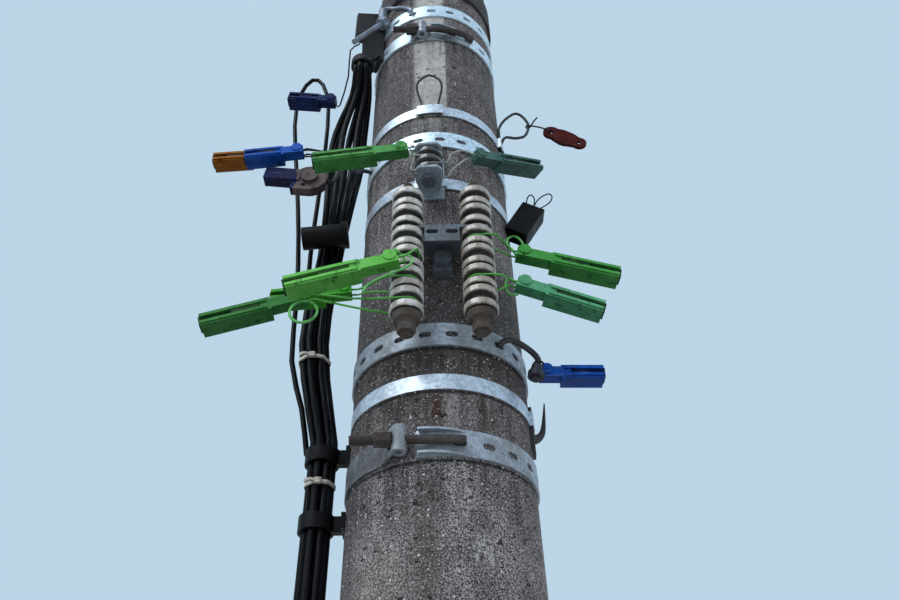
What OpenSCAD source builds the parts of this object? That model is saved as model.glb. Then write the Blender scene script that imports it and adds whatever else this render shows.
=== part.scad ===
// Spun concrete telephone pole with its bands, insulator racks and drop wire clamps.
// Millimetres, +Z up, origin at the centre of the foot of the shaft, front towards -Y.

/* [Shaft] */
// Height of the shaft above the ground
shaft_h = 6000; // [5200:50:7500]
// Diameter of the shaft at the ground
shaft_base_d = 277; // [265:1:320]
// Taper of the diameter in mm for each metre of height
taper = 15; // [10:0.5:20]
// Wall of the spun shaft
shaft_wall = 50; // [40:1:60]
// Height of the solid plug at the foot
foot_plug_h = 300; // [200:10:600]
// Thickness of the cap's plate
cap_t = 28; // [20:1:60]
// How far the cap stands out past the top of the shaft
cap_lip = 9; // [4:1:20]

/* [Heights] */
// Middle of the wide collar near the top
collar_z = 5028; // [5020:2:5100]
// Middle of the upper perforated band
band_1_z = 4933; // [4925:1:4945]
// Middle of the upper perforated band with a draw bolt
band_2_z = 4864; // [4855:1:4872]
// Middle of the strap that holds the wire hooks
strap_1_z = 4652; // [4640:1:4665]
// Middle of the perforated band above the front spool
band_3_z = 4583; // [4575:1:4590]
// Middle of the strap that holds the front spool
strap_2_z = 4489; // [4484:1:4494]
// Top of the crossbar's shelf
shelf_z = 4356; // [4350:1:4362]
// Middle of the perforated band under the racks
band_4_z = 4225; // [4215:1:4228]
// Middle of the strap under that band
strap_3_z = 4159; // [4152:1:4164]
// Middle of the lowest band, with its draw bolt
band_5_z = 4080; // [4070:1:4090]

/* [Bands] */
// Width of the perforated bands
band_w = 32; // [28:1:36]
// Thickness of the perforated bands
band_t = 2.5; // [2:0.1:3]
// Width of the plain straps
strap_w = 20; // [16:1:22]
// Thickness of the plain straps
strap_t = 0.9; // [0.7:0.1:1.4]
// Length of a slot in a band
slot_l = 15; // [12:0.5:17]
// Height of a slot in a band
slot_h = 8; // [6:0.5:10]
// Number of slots that would go round a band
slot_count = 21; // [18:1:24]
// Diameter of the draw bolts
draw_bolt_d = 10; // [8:0.5:12]
// Clearance between a band and the shaft
fit = 0.2; // [0.1:0.05:0.25]

/* [Insulators] */
// Diameter of a rack spool
spool_d = 40; // [36:0.5:42]
// Height of a rack spool
spool_h = 32; // [30:0.5:33]
// Diameter of a rack rod
rod_d = 12; // [10:0.5:14]
// Distance from the shaft's face to the middle of the rods, at the shelf
rod_off = 39.2; // [37:0.2:44]
// Sideways place of the left rod
rod_left_x = -36.5; // [-40:0.5:-34]
// Sideways place of the right rod
rod_right_x = 48; // [44:0.5:52]
// Spools above the shelf on each rod
spools_above = 2; // [1:1:2]
// Spools below the shelf on each rod
spools_below = 4; // [2:1:4]
// Diameter of the front spool
front_spool_d = 38; // [34:0.5:40]
// Height of the front spool
front_spool_h = 42; // [38:0.5:44]
// Distance from the shaft's face to the front spool's bolt
front_spool_off = 33.2; // [31.6:0.2:37]

/* [Clamps] */
// Length of a drop wire clamp
clamp_l = 131; // [115:1:145]
// Depth of a clamp, from its mouth to its back
clamp_w = 23; // [21:0.5:26]
// Height of a clamp
clamp_h = 18; // [17:0.5:21]
// Wall of a clamp
clamp_wall = 2.2; // [1.8:0.1:3]
// Width of the mouth that the wedge shows through
mouth_w = 6; // [5:0.5:8]
// Diameter of a clamp's bail
bail_d = 2.6; // [2:0.1:3.4]

/* [Riser] */
// Number of cables round the middle cable of the riser
riser_ring_count = 7; // [5:1:8]
// Diameter of a riser cable
cable_d = 10; // [8:0.5:11]
// Gap between the shaft and the riser cables
riser_gap = 16; // [12:1:24]
// Height of the cable guard at the foot
guard_h = 2200; // [1600:50:2600]

/* [Hidden] */

round_fn = 96;
rim_fn = 48;
lean = atan(taper / 2000);
front_x = (rod_left_x + rod_right_x) / 2;
bolt_d = 12;
bolt_play = 0.8;
rest_gap = 0.3;
shelf_t = 4;
saddle_w = 24;
saddle_h = 32;
through_bolt_z = shelf_z - shelf_t - 6 - saddle_h / 2;

// Radius of the shaft at a height
function shaft_r(z) = shaft_base_d / 2 - taper / 2000 * z;

// Outer radius of a perforated band at a height
function band_r(z) = shaft_r(z) + fit + band_t;

// A point given in a frame that stands off the axis at an azimuth and leans with the face
function frame_point(az, r, z, p) = let (y = p[1] * cos(lean) + p[2] * sin(lean) - r)
    [p[0] * cos(az) - y * sin(az), p[0] * sin(az) + y * cos(az), z - p[1] * sin(lean) + p[2] * cos(lean)];

// The same for a frame on the shaft's face
function face_point(az, z, p) = frame_point(az, shaft_r(z), z, p);

rod_y = shaft_r(shelf_z) + rod_off;
front_spool_y = shaft_r(strap_2_z) + front_spool_off;

// Puts children on the shaft's face: x runs round it, -y points outwards, z follows the face
module on_shaft(az, z, lift = 0) {
    rotate([0, 0, az]) translate([0, -shaft_r(z) - lift, z]) rotate([-lean, 0, 0]) children();
}

// A ring that follows the shaft's taper between two heights
module cone_ring(z, w, t, gap = fit) {
    z_low = z - w / 2;
    z_high = z + w / 2;
    r_low = shaft_r(z_low) + gap;
    r_high = shaft_r(z_high) + gap;
    rotate_extrude($fn = round_fn)
        polygon([[r_low, z_low], [r_low + t, z_low], [r_high + t, z_high], [r_high, z_high]]);
}

// The solid inside the shaft's face, grown by a gap, for cutting pieces that fit against it
module shaft_space(gap, z_low, z_high) {
    rotate_extrude($fn = round_fn) polygon([
        [0, z_low], [shaft_r(z_low) + gap, z_low], [shaft_r(z_high) + gap, z_high], [0, z_high]]);
}

// A stretch of a ring that follows the taper, from one azimuth to another
module cone_plate(z_low, z_high, t, from_az, to_az, gap) {
    rotate([0, 0, from_az - 90]) rotate_extrude(angle = to_az - from_az, $fn = round_fn) polygon([
        [shaft_r(z_low) + gap, z_low], [shaft_r(z_low) + gap + t, z_low],
        [shaft_r(z_high) + gap + t, z_high], [shaft_r(z_high) + gap, z_high]]);
}

// A slot with round ends, cut along y
module slot_cutter(l, h, depth) {
    rotate([90, 0, 0]) union() {
        translate([-(l - h) / 2, -h / 2, -depth / 2]) cube([l - h, h, depth]);
        for (side = [-1, 1])
            translate([side * (l - h) / 2, 0, -depth / 2]) cylinder(d = h, h = depth, $fn = 24);
    }
}

// The slots of a band, spaced evenly from a first azimuth, with a stretch left plain
module band_slots(z, first_az, plain_from, plain_to, count = slot_count) {
    for (i = [0 : count - 1]) {
        az = first_az + i * 360 / count;
        wrapped = az - 360 * floor((az - plain_from) / 360);
        if (wrapped > plain_to)
            on_shaft(az, z) slot_cutter(slot_l, slot_h, 4 * (band_t + fit) + 4);
    }
}

lug_gap = 8;
lug_reach = 26;
lug_t = 4;
lug_bolt_d = 10;

// A perforated band that closes at the back with two bolted lugs
module lug_band(z, first_az, count = slot_count) {
    r_out = band_r(z);
    difference() {
        union() {
            cone_ring(z, band_w, band_t);
            for (side = [-1, 1])
                translate([side * (lug_gap + lug_t) / 2 - lug_t / 2, r_out - band_t, z - band_w / 2])
                    cube([lug_t, lug_reach, band_w]);
        }
        band_slots(z, first_az, 170, 190, count);
        translate([-lug_gap / 2, r_out - 20, z - band_w]) cube([lug_gap, lug_reach + 30, 2 * band_w]);
        translate([0, r_out + lug_reach / 2, z]) rotate([0, 90, 0])
            cylinder(d = lug_bolt_d + 1, h = 60, center = true, $fn = 32);
    }
}

// A hexagonal head or nut along z
module hex(across, h) {
    cylinder(d = across / cos(30), h = h, $fn = 6);
}

// The bolt through the two lugs at the back of a band
module lug_bolt(z) {
    grip = lug_gap + 2 * lug_t;
    translate([-grip / 2, band_r(z) + lug_reach / 2, z]) rotate([0, 90, 0]) union() {
        translate([0, 0, -7]) hex(17, 7);
        cylinder(d = lug_bolt_d, h = grip + 16, $fn = 32);
        translate([0, 0, grip]) hex(17, 8);
    }
}

ear_d = 16;
ear_h = 30;
draw_bolt_gap = 1.5;
channel_depth = 9;
channel_lip = 2.5;
channel_inset = 0.7;
channel_fade = 0.75;

// How far in front of the shaft's axis a draw bolt runs
function draw_bolt_y(z) = band_r(z) + draw_bolt_d / 2 + draw_bolt_gap;

// The round that the channel's lips are cut back to, so that they run out into the band
module lip_round(r_out, from_az, to_az, z) {
    tall = (r_out + channel_depth) * [sin(from_az), -cos(from_az)];
    low = r_out * [sin(to_az), -cos(to_az)];
    chord = low - tall;
    r = r_out * channel_fade;
    back = sqrt(r * r - chord * chord / 4);
    centre = (tall + low) / 2 + back * [-chord[1], chord[0]] / norm(chord);
    translate([centre[0], centre[1], z - band_w]) cylinder(r = r, h = 2 * band_w, $fn = round_fn);
}

// A perforated band that a draw bolt closes at the front: the rolled ear, the arm that
// carries it and the two lips of the channel that the bolt lies in
module draw_band(z, first_az, ear_x, channel) {
    r_out = band_r(z);
    y_bolt = -draw_bolt_y(z);
    arm_az = asin((ear_x - 17) / r_out);
    arm_foot = [r_out * sin(arm_az), -r_out * cos(arm_az)];
    arm_tip = [ear_x - ear_d / 2 + band_t / 2, y_bolt];
    arm_v = arm_tip - arm_foot;
    arm_n = [-arm_v[1], arm_v[0]] / norm(arm_v) * band_t;
    lip_low = z - band_w / 2 + channel_inset;
    lip_step = band_w - channel_lip - 2 * channel_inset;
    difference() {
        union() {
            difference() {
                cone_ring(z, band_w, band_t);
                band_slots(z, first_az, arm_az - 26, channel[0] + 12);
                rotate([0, 0, arm_az + 2]) translate([0, -r_out - 5, z - band_w])
                    cube([r_out * (channel[0] - arm_az - 4) * PI / 180, 12, 2 * band_w]);
            }
            translate([0, 0, z - band_w / 2]) linear_extrude(band_w)
                polygon([arm_foot + arm_n * 0.5, arm_foot - arm_n,
                    arm_tip - arm_n * 0.5, arm_tip + arm_n * 0.5]);
            translate([ear_x, y_bolt, z - ear_h / 2]) cylinder(d = ear_d, h = ear_h, $fn = 40);
            intersection() {
                for (side = [0, 1]) translate([0, 0, lip_low + side * lip_step])
                    rotate([0, 0, channel[0] - 90])
                        rotate_extrude(angle = channel[1] - channel[0], $fn = round_fn)
                            translate([r_out - 1, 0]) square([channel_depth + 1, channel_lip]);
                lip_round(r_out, channel[0], channel[1], z);
            }
        }
        translate([ear_x, y_bolt, z]) rotate([0, 90, 0])
            cylinder(d = draw_bolt_d + 0.6, h = 60, center = true, $fn = 32);
        translate([ear_x, y_bolt, z - ear_h])
            cylinder(d = ear_d - 2 * band_t - 3, h = ear_h * 0.75, $fn = 32);
        translate([ear_x - ear_d / 2 + 0.1, y_bolt, z]) rotate([0, -90, 0])
            cylinder(d = 22, h = 40, $fn = 40);
    }
}

toe = [slot_l * 0.75, slot_h * 0.75];

// The draw bolt of a band: threaded through the ear, bent round the shaft, and hooked into a
// slot of the band by the toe at its end
module draw_bolt(z, ear_x, toe_az, tail) {
    y_bolt = draw_bolt_y(z);
    face = ear_x - ear_d / 2;
    union() {
        translate([0, -y_bolt, z]) rotate([0, -90, 0]) cylinder(d = draw_bolt_d, h = tail - face, $fn = 32);
        translate([face, -y_bolt, z]) rotate([0, -90, 0]) hex(17, 10);
        translate([face - 10, -y_bolt, z]) rotate([0, -90, 0]) hex(16, 8);
        translate([0, 0, z]) rotate([0, 0, -90]) rotate_extrude(angle = toe_az + 2, $fn = round_fn)
            translate([y_bolt, 0]) circle(d = draw_bolt_d, $fn = 32);
        rotate([0, 0, toe_az]) translate([-toe[0] / 2, -y_bolt, z - toe[1] / 2])
            cube([toe[0], y_bolt - shaft_r(z) - fit - 0.3, toe[1]]);
    }
}

band_4_slot_az = -8.7;
ear_2_x = -19;
ear_5_x = -44;
band_2_slot_az = -0.5;
band_5_slot_az = 27.5;
band_5_channel = [-12, 14];
band_2_channel = [-2, 28];
toe_2_az = band_2_slot_az + 2 * 360 / slot_count;
toe_5_az = band_5_slot_az - 360 / slot_count;

// Wire and cord shapes
function unit(v) = v / norm(v);
function spline_at(a, b, c, d, t) =
    0.5 * (2 * b + (c - a) * t + (2 * a - 5 * b + 4 * c - d) * t * t + (3 * b - a - 3 * c + d) * t * t * t);
function smooth_path(p, n) = concat(
    [for (i = [0 : len(p) - 2]) for (j = [0 : n - 1])
        spline_at(p[max(i - 1, 0)], p[i], p[i + 1], p[min(i + 2, len(p) - 1)], j / n)],
    [p[len(p) - 1]]);
function path_dirs(p) = [for (i = [0 : len(p) - 1]) unit(p[min(i + 1, len(p) - 1)] - p[max(i - 1, 0)])];
function path_sides(dirs, side, i = 0) = i == len(dirs) ? [] :
    let (s = unit(side - (side * dirs[i]) * dirs[i])) concat([s], path_sides(dirs, s, i + 1));
function start_side(d) = abs(d[2]) < 0.8 ? cross(d, [0, 0, 1]) : cross(d, [1, 0, 0]);

// A round wire swept along points, with one diameter or one for each point
module wire(p, d, sides = 8) {
    dirs = path_dirs(p);
    side = path_sides(dirs, start_side(dirs[0]));
    rings = [for (i = [0 : len(p) - 1]) for (k = [0 : sides - 1])
        let (turn = 360 * k / sides, r = (is_list(d) ? d[i] : d) / 2)
        p[i] + r * (cos(turn) * side[i] + sin(turn) * cross(dirs[i], side[i]))];
    walls = [for (i = [0 : len(p) - 2]) for (k = [0 : sides - 1])
        let (a = i * sides + k, b = i * sides + (k + 1) % sides)
        each [[a, a + sides, b + sides], [a, b + sides, b]]];
    last = (len(p) - 1) * sides;
    polyhedron(points = rings, faces = concat(walls,
        [[for (k = [0 : sides - 1]) k], [for (k = [sides - 1 : -1 : 0]) last + k]]));
}

module shaft() {
    r_foot = shaft_r(0);
    r_top = shaft_r(shaft_h);
    color([0.45, 0.41, 0.38]) difference() {
        rotate_extrude($fn = round_fn) polygon([
            [0, 0], [r_foot, 0], [r_top, shaft_h], [r_top - shaft_wall, shaft_h],
            [shaft_r(foot_plug_h) - shaft_wall, foot_plug_h], [0, foot_plug_h]]);
        translate([front_x, 0, through_bolt_z]) rotate([90, 0, 0])
            cylinder(d = bolt_d + bolt_play, h = 3 * shaft_base_d, center = true, $fn = 40);
    }
}

cap_spigot_h = 60;
cap_clearance = 1.5;

module top_cap() {
    r_cap = shaft_r(shaft_h) + cap_lip;
    r_plug = shaft_r(shaft_h) - shaft_wall - cap_clearance;
    color([0.42, 0.4, 0.38]) translate([0, 0, shaft_h]) rotate_extrude($fn = round_fn) polygon([
        [0, -cap_spigot_h], [r_plug - 6, -cap_spigot_h], [r_plug, -cap_spigot_h + 6], [r_plug, 0],
        [r_cap, 0], [r_cap, cap_t * 0.6], [r_cap - 8, cap_t], [0, cap_t + 10]]);
}

collar_w = 60;
collar_t = 5;
collar_flange = 30;
collar_gap = 8;
collar_turn = 60;

module head_collar() {
    r_out = shaft_r(collar_z) + fit + collar_t;
    color([0.36, 0.34, 0.33]) rotate([0, 0, collar_turn]) difference() {
        union() {
            cone_ring(collar_z, collar_w, collar_t);
            for (side = [-1, 1]) for (half = [-1, 1])
                translate([side * (r_out - 2 + collar_flange / 2) - collar_flange / 2 - 1,
                        half * (collar_gap + collar_t) / 2 - collar_t / 2, collar_z - collar_w / 2])
                    cube([collar_flange + 2, collar_t, collar_w]);
        }
        translate([-r_out - 50, -collar_gap / 2, collar_z - collar_w])
            cube([2 * r_out + 100, collar_gap, 2 * collar_w]);
        for (side = [-1, 1]) for (level = [-1, 1])
            translate([side * (r_out + collar_flange / 2), 0, collar_z + level * collar_w / 4])
                rotate([90, 0, 0]) cylinder(d = 13, h = 60, center = true, $fn = 32);
    }
}

module collar_bolts() {
    r_out = shaft_r(collar_z) + fit + collar_t;
    grip = collar_gap + 2 * collar_t;
    color([0.3, 0.28, 0.27]) rotate([0, 0, collar_turn]) for (side = [-1, 1]) for (level = [-1, 1])
        translate([side * (r_out + collar_flange / 2), -grip / 2, collar_z + level * collar_w / 4])
            rotate([-90, 0, 0]) union() {
                translate([0, 0, -8]) hex(19, 8);
                cylinder(d = 12, h = grip + 20, $fn = 32);
                translate([0, 0, grip]) hex(19, 10);
            }
}

module band_1() { color([0.72, 0.75, 0.8]) lug_band(band_1_z, -2, slot_count - 1); }
module band_2() {
    color([0.68, 0.71, 0.75])
        draw_band(band_2_z, band_2_slot_az, ear_2_x, band_2_channel);
}
module band_3() { color([0.72, 0.75, 0.8]) lug_band(band_3_z, -13.8); }
module band_4() { color([0.66, 0.7, 0.74]) lug_band(band_4_z, band_4_slot_az, slot_count + 1); }
module band_5() {
    color([0.66, 0.68, 0.7])
        draw_band(band_5_z, band_5_slot_az, ear_5_x, band_5_channel);
}

module lug_bolts() {
    color([0.6, 0.61, 0.63]) for (z = [band_1_z, band_3_z, band_4_z]) lug_bolt(z);
}

module draw_bolts() {
    color([0.32, 0.26, 0.24]) {
        draw_bolt(band_2_z, ear_2_x, toe_2_az, 38);
        draw_bolt(band_5_z, ear_5_x, toe_5_az, 42);
    }
}

buckle = [26, 4, 24];

// A plain strap with its buckle, raised over each listed stretch: azimuth, half angle, rise
module plain_strap(z, buckle_az, raised = []) {
    union() {
        difference() {
            cone_ring(z, strap_w, strap_t);
            for (r = raised) rotate([0, 0, r[0] - r[1] - 90])
                rotate_extrude(angle = 2 * r[1], $fn = round_fn)
                    translate([shaft_r(z) - 10, z - strap_w]) square([30, 2 * strap_w]);
        }
        for (r = raised) {
            rotate([0, 0, r[0] - r[1] - 90]) rotate_extrude(angle = 2 * r[1], $fn = round_fn)
                translate([shaft_r(z) + fit + r[2], z - strap_w / 2]) square([strap_t, strap_w]);
            for (side = [-1, 1])
                on_shaft(r[0] + side * r[1], z) translate([-strap_t, -fit - r[2] - strap_t, -strap_w / 2])
                    cube([2 * strap_t, r[2] + strap_t, strap_w]);
        }
        on_shaft(buckle_az, z, fit + strap_t)
            translate([-buckle[0] / 2, -buckle[1] + 1, -buckle[2] / 2]) cube(buckle);
    }
}

hook_wire_d = 3.6;
hook_az = -4;
hook_leg_gap = 24;
side_hook_az = 76;
side_hook_d = 4.5;
side_hook_half = 10;
side_hook_tip = [17.3, -49, 65];
front_az = -4;
clevis_t = 4;
horn_az = 84;
horn_plate_t = 4;

// Rise of a strap over two legs of a thickness, each half a spread from the middle
function rise(z, t, half) = norm([shaft_r(z) + 0.2 + t, half + t / 2]) - shaft_r(z) - fit + 0.2;

module strap_1() {
    color([0.85, 0.87, 0.92]) plain_strap(strap_1_z, 168, [
        [hook_az, 10, rise(strap_1_z, hook_wire_d, hook_leg_gap / 2)],
        [side_hook_az, 9, rise(strap_1_z, side_hook_d, side_hook_half)]]);
}
module strap_2() {
    color([0.85, 0.87, 0.92]) plain_strap(strap_2_z, 150, [[front_az, 11, clevis_t + rest_gap]]);
}
module strap_3() {
    color([0.85, 0.87, 0.92]) plain_strap(strap_3_z, -150, [[horn_az, 8, horn_plate_t + rest_gap]]);
}

// The front wire hook: legs under the strap, curled ends below it and a loop that stands off above
module front_wire_hook() {
    half = hook_leg_gap / 2;
    off = -hook_wire_d / 2 - 0.2;
    left = [[-half, off - 5, -17], [-half, off - 1, -15], [-half, off, -11], [-half, off, 0],
            [-half, off, 12],
            [-half - 3, off - 3, 26], [-half - 7, off - 9, 42], [-half - 4, off - 14, 56]];
    right = [for (i = [len(left) - 1 : -1 : 0]) [-left[i][0], left[i][1], left[i][2]]];
    wire(smooth_path(concat(left, [[0, off - 17, 66]], right), 2), hook_wire_d);
}

// The side wire hook: the same legs, and a loop with four corners that stands out sideways
module side_wire_hook() {
    half = side_hook_half;
    off = -side_hook_d / 2 - 0.2;
    wire(smooth_path([[-half, off - 4, -17], [-half, off, -11], [-half, off, 0], [-half, off, 12],
        [-8, off, 30], [-2, off, 48], [4, off - 1, 64], [7.5, off - 9, 83], [11, off - 24, 99],
        [13.5, off - 33, 100], [15.8, off - 41, 90], [17.3, off - 46.4, 75], side_hook_tip,
        [16.6, off - 43.6, 53],
        [15, off - 37, 41], [11.5, off - 22, 38], [8.2, off - 9.5, 41], [8.5, off - 3, 34], [half, off, 23],
        [half, off, 12], [half, off, 0], [half, off, -11], [half, off - 4, -17]], 2), side_hook_d);
}

left_hook_az = -65.2;
left_hook_off = 39.9;
left_hook_tip_az = -62.7;
left_hook_x = (shaft_r(band_3_z) + left_hook_off) * sin(left_hook_tip_az);
left_hook_y = -(shaft_r(band_3_z) + left_hook_off) * cos(left_hook_tip_az);
left_hook_d = 6;

// The left hook: its root stands in a slot of band 3 and its end turns up
module left_hook() {
    r = shaft_r(band_3_z) + 0.25;
    out = [sin(left_hook_az), -cos(left_hook_az), 0];
    root = [r * out[0], r * out[1], band_3_z];
    wire(smooth_path([root, root + 5 * out, root + 9 * out, root + 18 * out + [0, 0, -3],
        [left_hook_x + 8, left_hook_y + 5, band_3_z - 16],
        [left_hook_x + 1.5, left_hook_y + 1, band_3_z - 14],
        [left_hook_x, left_hook_y, band_3_z - 9], [left_hook_x, left_hook_y, band_3_z],
        [left_hook_x, left_hook_y, band_3_z + 10], [left_hook_x, left_hook_y, band_3_z + 20]], 3),
        left_hook_d);
}

module wire_hooks() {
    color([0.22, 0.22, 0.24]) {
        on_shaft(hook_az, strap_1_z) front_wire_hook();
        on_shaft(side_hook_az, strap_1_z) side_wire_hook();
        left_hook();
    }
}

arm_t = 6;
arm_az = -62;
arm_seat_w = 30;
arm_plate_x = 9;
arm_bolt_x = -4;
arm_reach = 52;
arm_inner = [5, 130];
arm_outer = [21, 94];
arm_eye = [-40, 28];
arm_eye_d = 6;
arm_ring = [-4, -29, -24];
arm_ring_h = 14;
arm_spread = 0.9;

riser_pitch = cable_d + 0.4;
riser_ring_r = riser_pitch / 2 / sin(180 / riser_ring_count);
riser_r = riser_ring_r + cable_d / 2;
arm_ring_r = riser_ring_r * arm_spread + cable_d / 2 + 0.3;

// Where the side arm stands: against both upper bands, out to the left
module at_arm() {
    rotate([0, 0, arm_az]) translate([0, -band_r(band_2_z) - rest_gap, band_2_z]) rotate([-lean, 0, 0])
        children();
}

// A point of the side arm's own frame
function arm_point(p) = frame_point(arm_az, band_r(band_2_z) + rest_gap, band_2_z, p);

// The side arm: a seat against bands 1 and 2, a plate that stands out from it, and a ring
// under the plate that the riser's cables run through
module side_arm() {
    color([0.33, 0.3, 0.28]) at_arm() difference() {
        union() {
            translate([-arm_seat_w / 2, -arm_t, -band_w / 2 + 2])
                cube([arm_seat_w, arm_t, arm_inner[1] + band_w / 2 - 2]);
            translate([arm_plate_x, 0, 0]) rotate([90, 0, 90]) linear_extrude(arm_t) polygon([
                [-1, arm_inner[0]], [-1, arm_inner[1]], [-arm_reach, arm_outer[1]],
                [-arm_reach, arm_outer[0]], [-38, arm_outer[0] - 5],
                [-36, arm_ring[2] - arm_ring_h / 2], [-22, arm_ring[2] - arm_ring_h / 2]]);
            translate([arm_ring[0], arm_ring[1], arm_ring[2] - arm_ring_h / 2])
                cylinder(r = arm_ring_r + 3, h = arm_ring_h, $fn = rim_fn);
        }
        translate([arm_ring[0], arm_ring[1], arm_ring[2] - arm_ring_h])
            cylinder(r = arm_ring_r, h = 2 * arm_ring_h, $fn = rim_fn);
        translate([0, arm_eye[0], arm_eye[1]]) rotate([0, 90, 0]) cylinder(d = arm_eye_d, h = 60, $fn = 32);
        for (z = [0, band_1_z - band_2_z])
            translate([arm_bolt_x, 0, z]) rotate([90, 0, 0])
                cylinder(d = 11, h = 60, center = true, $fn = 32);
    }
}

stay_d = 9;
stay_x = arm_plate_x + arm_t + 11.2;
stay_low = [stay_x, -58, -17];
stay_high = [stay_x, -10.5, 76];
sleeve_d = 15;
sleeve_h = 34;
shackle_d = 7;
shackle_az = -20;

// The stay that slants across the side arm's plate: its shank, its nut, the sleeve above the
// nut and the shackle that hooks the sleeve to a slot of band 1
module arm_stay() {
    v = stay_high - stay_low;
    foot = face_point(shackle_az, band_1_z, [0, -0.25, 0]);
    out = [sin(shackle_az), -cos(shackle_az), 0];
    top = arm_point(stay_high + [0, 0, sleeve_h + 8]);
    union() {
        at_arm() translate(stay_low) rotate([-atan2(v[1], v[2]), 0, 0]) union() {
            cylinder(d = stay_d, h = norm(v) + 6, $fn = 32);
            translate([0, 0, norm(v) - 8]) hex(19, 16);
        }
        at_arm() translate(stay_high + [0, 0, 6]) cylinder(d = sleeve_d, h = sleeve_h, $fn = 32);
        wire(smooth_path([foot, foot + 5 * out, foot + 9 * out + [0, 0, 2], foot + [-9.4, -3.5, 17],
            foot + [-22, 7.2, 38], foot + [-33, 13.5, 46], top + [6, -3, 0], top + [1, -0.5, -5]], 3),
            shackle_d);
    }
}

module arm_bolt() {
    color([0.8, 0.82, 0.86]) {
        at_arm() for (z = [0, band_1_z - band_2_z])
            translate([arm_bolt_x, -arm_t - 0.1, z]) rotate([90, 0, 0]) union() {
                hex(16, 7);
                translate([0, 0, -arm_t]) cylinder(d = 10, h = arm_t + 13, $fn = 32);
            }
        arm_stay();
    }
}

clevis_half = 10;
leg_w = 36;
leg_root = 22;
clevis_spool_y = -(front_spool_y - shaft_r(strap_2_z));
clevis_leg_low = -27;
clevis_leg_high = clevis_leg_low + clevis_t + front_spool_h + 2 * rest_gap;
clevis_low = -34;
clevis_high = 50;

// The bracket of the front spool: a back plate under the strap and two legs
module clevis() {
    color([0.42, 0.46, 0.5]) difference() {
        union() {
            cone_plate(strap_2_z + clevis_low, strap_2_z + clevis_high, clevis_t,
                front_az - clevis_half, front_az + clevis_half, 0.1);
            on_shaft(front_az, strap_2_z, 0.1) for (level = [clevis_leg_low, clevis_leg_high])
                translate([0, 0, level]) linear_extrude(clevis_t) polygon([
                    [-leg_root / 2, -clevis_t + 2], [leg_root / 2, -clevis_t + 2],
                    [leg_w / 2, clevis_spool_y + 4],
                    [leg_w / 2, clevis_spool_y - front_spool_d / 2 + 5],
                    [leg_w / 2 - 6, clevis_spool_y - front_spool_d / 2 - 1],
                    [-leg_w / 2 + 6, clevis_spool_y - front_spool_d / 2 - 1],
                    [-leg_w / 2, clevis_spool_y - front_spool_d / 2 + 5],
                    [-leg_w / 2, clevis_spool_y + 4]]);
        }
        on_shaft(front_az, strap_2_z, 0.1) translate([0, clevis_spool_y, clevis_leg_low - 10])
            cylinder(d = bolt_d + bolt_play, h = 100, $fn = 40);
    }
}

// A spool on z = 0: a low boss at each end, round-edged rims, and necks between the rims
module spool(d, h, rims, rim_h, neck_d, boss_h) {
    r = d / 2;
    neck = neck_d / 2;
    edge = 1.4;
    pitch = (h - 2 * boss_h - rim_h) / (rims - 1);
    outline = [for (i = [0 : rims - 1]) let (z = boss_h + i * pitch) each [
        [neck, z - (i == 0 ? 0 : 1.5)], [r - edge, z], [r - edge / 3, z + edge / 3], [r, z + edge],
        [r, z + rim_h - edge], [r - edge / 3, z + rim_h - edge / 3], [r - edge, z + rim_h],
        [neck, z + rim_h + (i == rims - 1 ? 0 : 1.5)]]];
    bore = (bolt_d + 2 * bolt_play) / 2;
    rotate_extrude($fn = rim_fn)
        polygon(concat([[bore, 0], [neck, 0]], outline, [[neck, h], [bore, h]]));
}

front_rim_h = 8;
front_neck_d = 25;
front_boss_h = 1;
rack_rim_h = 9;
rack_neck_d = 26;
rack_boss_h = 1.6;

module front_spool() {
    color([0.2, 0.16, 0.19]) on_shaft(front_az, strap_2_z, 0.1)
        translate([0, clevis_spool_y, clevis_leg_low + clevis_t + rest_gap])
            spool(front_spool_d, front_spool_h, 3, front_rim_h, front_neck_d, front_boss_h);
}

module clevis_bolt() {
    grip = clevis_leg_high - clevis_leg_low + clevis_t;
    color([0.35, 0.33, 0.32]) on_shaft(front_az, strap_2_z, 0.1)
        translate([0, clevis_spool_y, clevis_leg_low - 0.1]) union() {
            translate([0, 0, -8]) hex(19, 8);
            cylinder(d = bolt_d, h = grip + 18, $fn = 40);
            translate([0, 0, grip + 0.2]) hex(19, 10);
        }
}

shelf_end = 14;
shelf_front_y = -rod_y - 12;
shelf_back_y = -shaft_r(shelf_z) + 10;
tab_t = 3;
tab_h = 27;
tab_slot_z = -11;
tab_from = rod_left_x + spool_d / 2 + 1;
tab_to = rod_right_x - spool_d / 2 - 1;
saddle_front = 15;

// The crossbar: a shelf that both rods pass through, the slotted tab that hangs from its front
// edge between the columns, and the saddle block that the through bolt draws up
module crossbar() {
    color([0.42, 0.44, 0.47]) difference() {
        union() {
            translate([rod_left_x - shelf_end, shelf_front_y, shelf_z - shelf_t])
                cube([rod_right_x - rod_left_x + 2 * shelf_end, shelf_back_y - shelf_front_y, shelf_t]);
            translate([tab_from, shelf_front_y, shelf_z - tab_h]) cube([tab_to - tab_from, tab_t, tab_h]);
            translate([front_x - saddle_w / 2, -shaft_r(shelf_z) - saddle_front,
                    shelf_z - shelf_t - 6 - saddle_h])
                cube([saddle_w, saddle_front + 10, saddle_h + 7]);
        }
        for (x = [rod_left_x, rod_right_x])
            translate([x, -rod_y, shelf_z - 40]) cylinder(d = rod_d + bolt_play, h = 80, $fn = 40);
        for (side = [-1, 1])
            translate([front_x + side * 12, shelf_front_y + tab_t / 2, shelf_z + tab_slot_z])
                slot_cutter(15, 7, 12);
        translate([front_x, -shaft_r(shelf_z) + 10, through_bolt_z]) rotate([90, 0, 0])
            cylinder(d = bolt_d + bolt_play, h = saddle_front + 20, $fn = 40);
        shaft_space(0.1, shelf_z - 200, shelf_z + 200);
    }
}

washer_w = 50;

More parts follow.
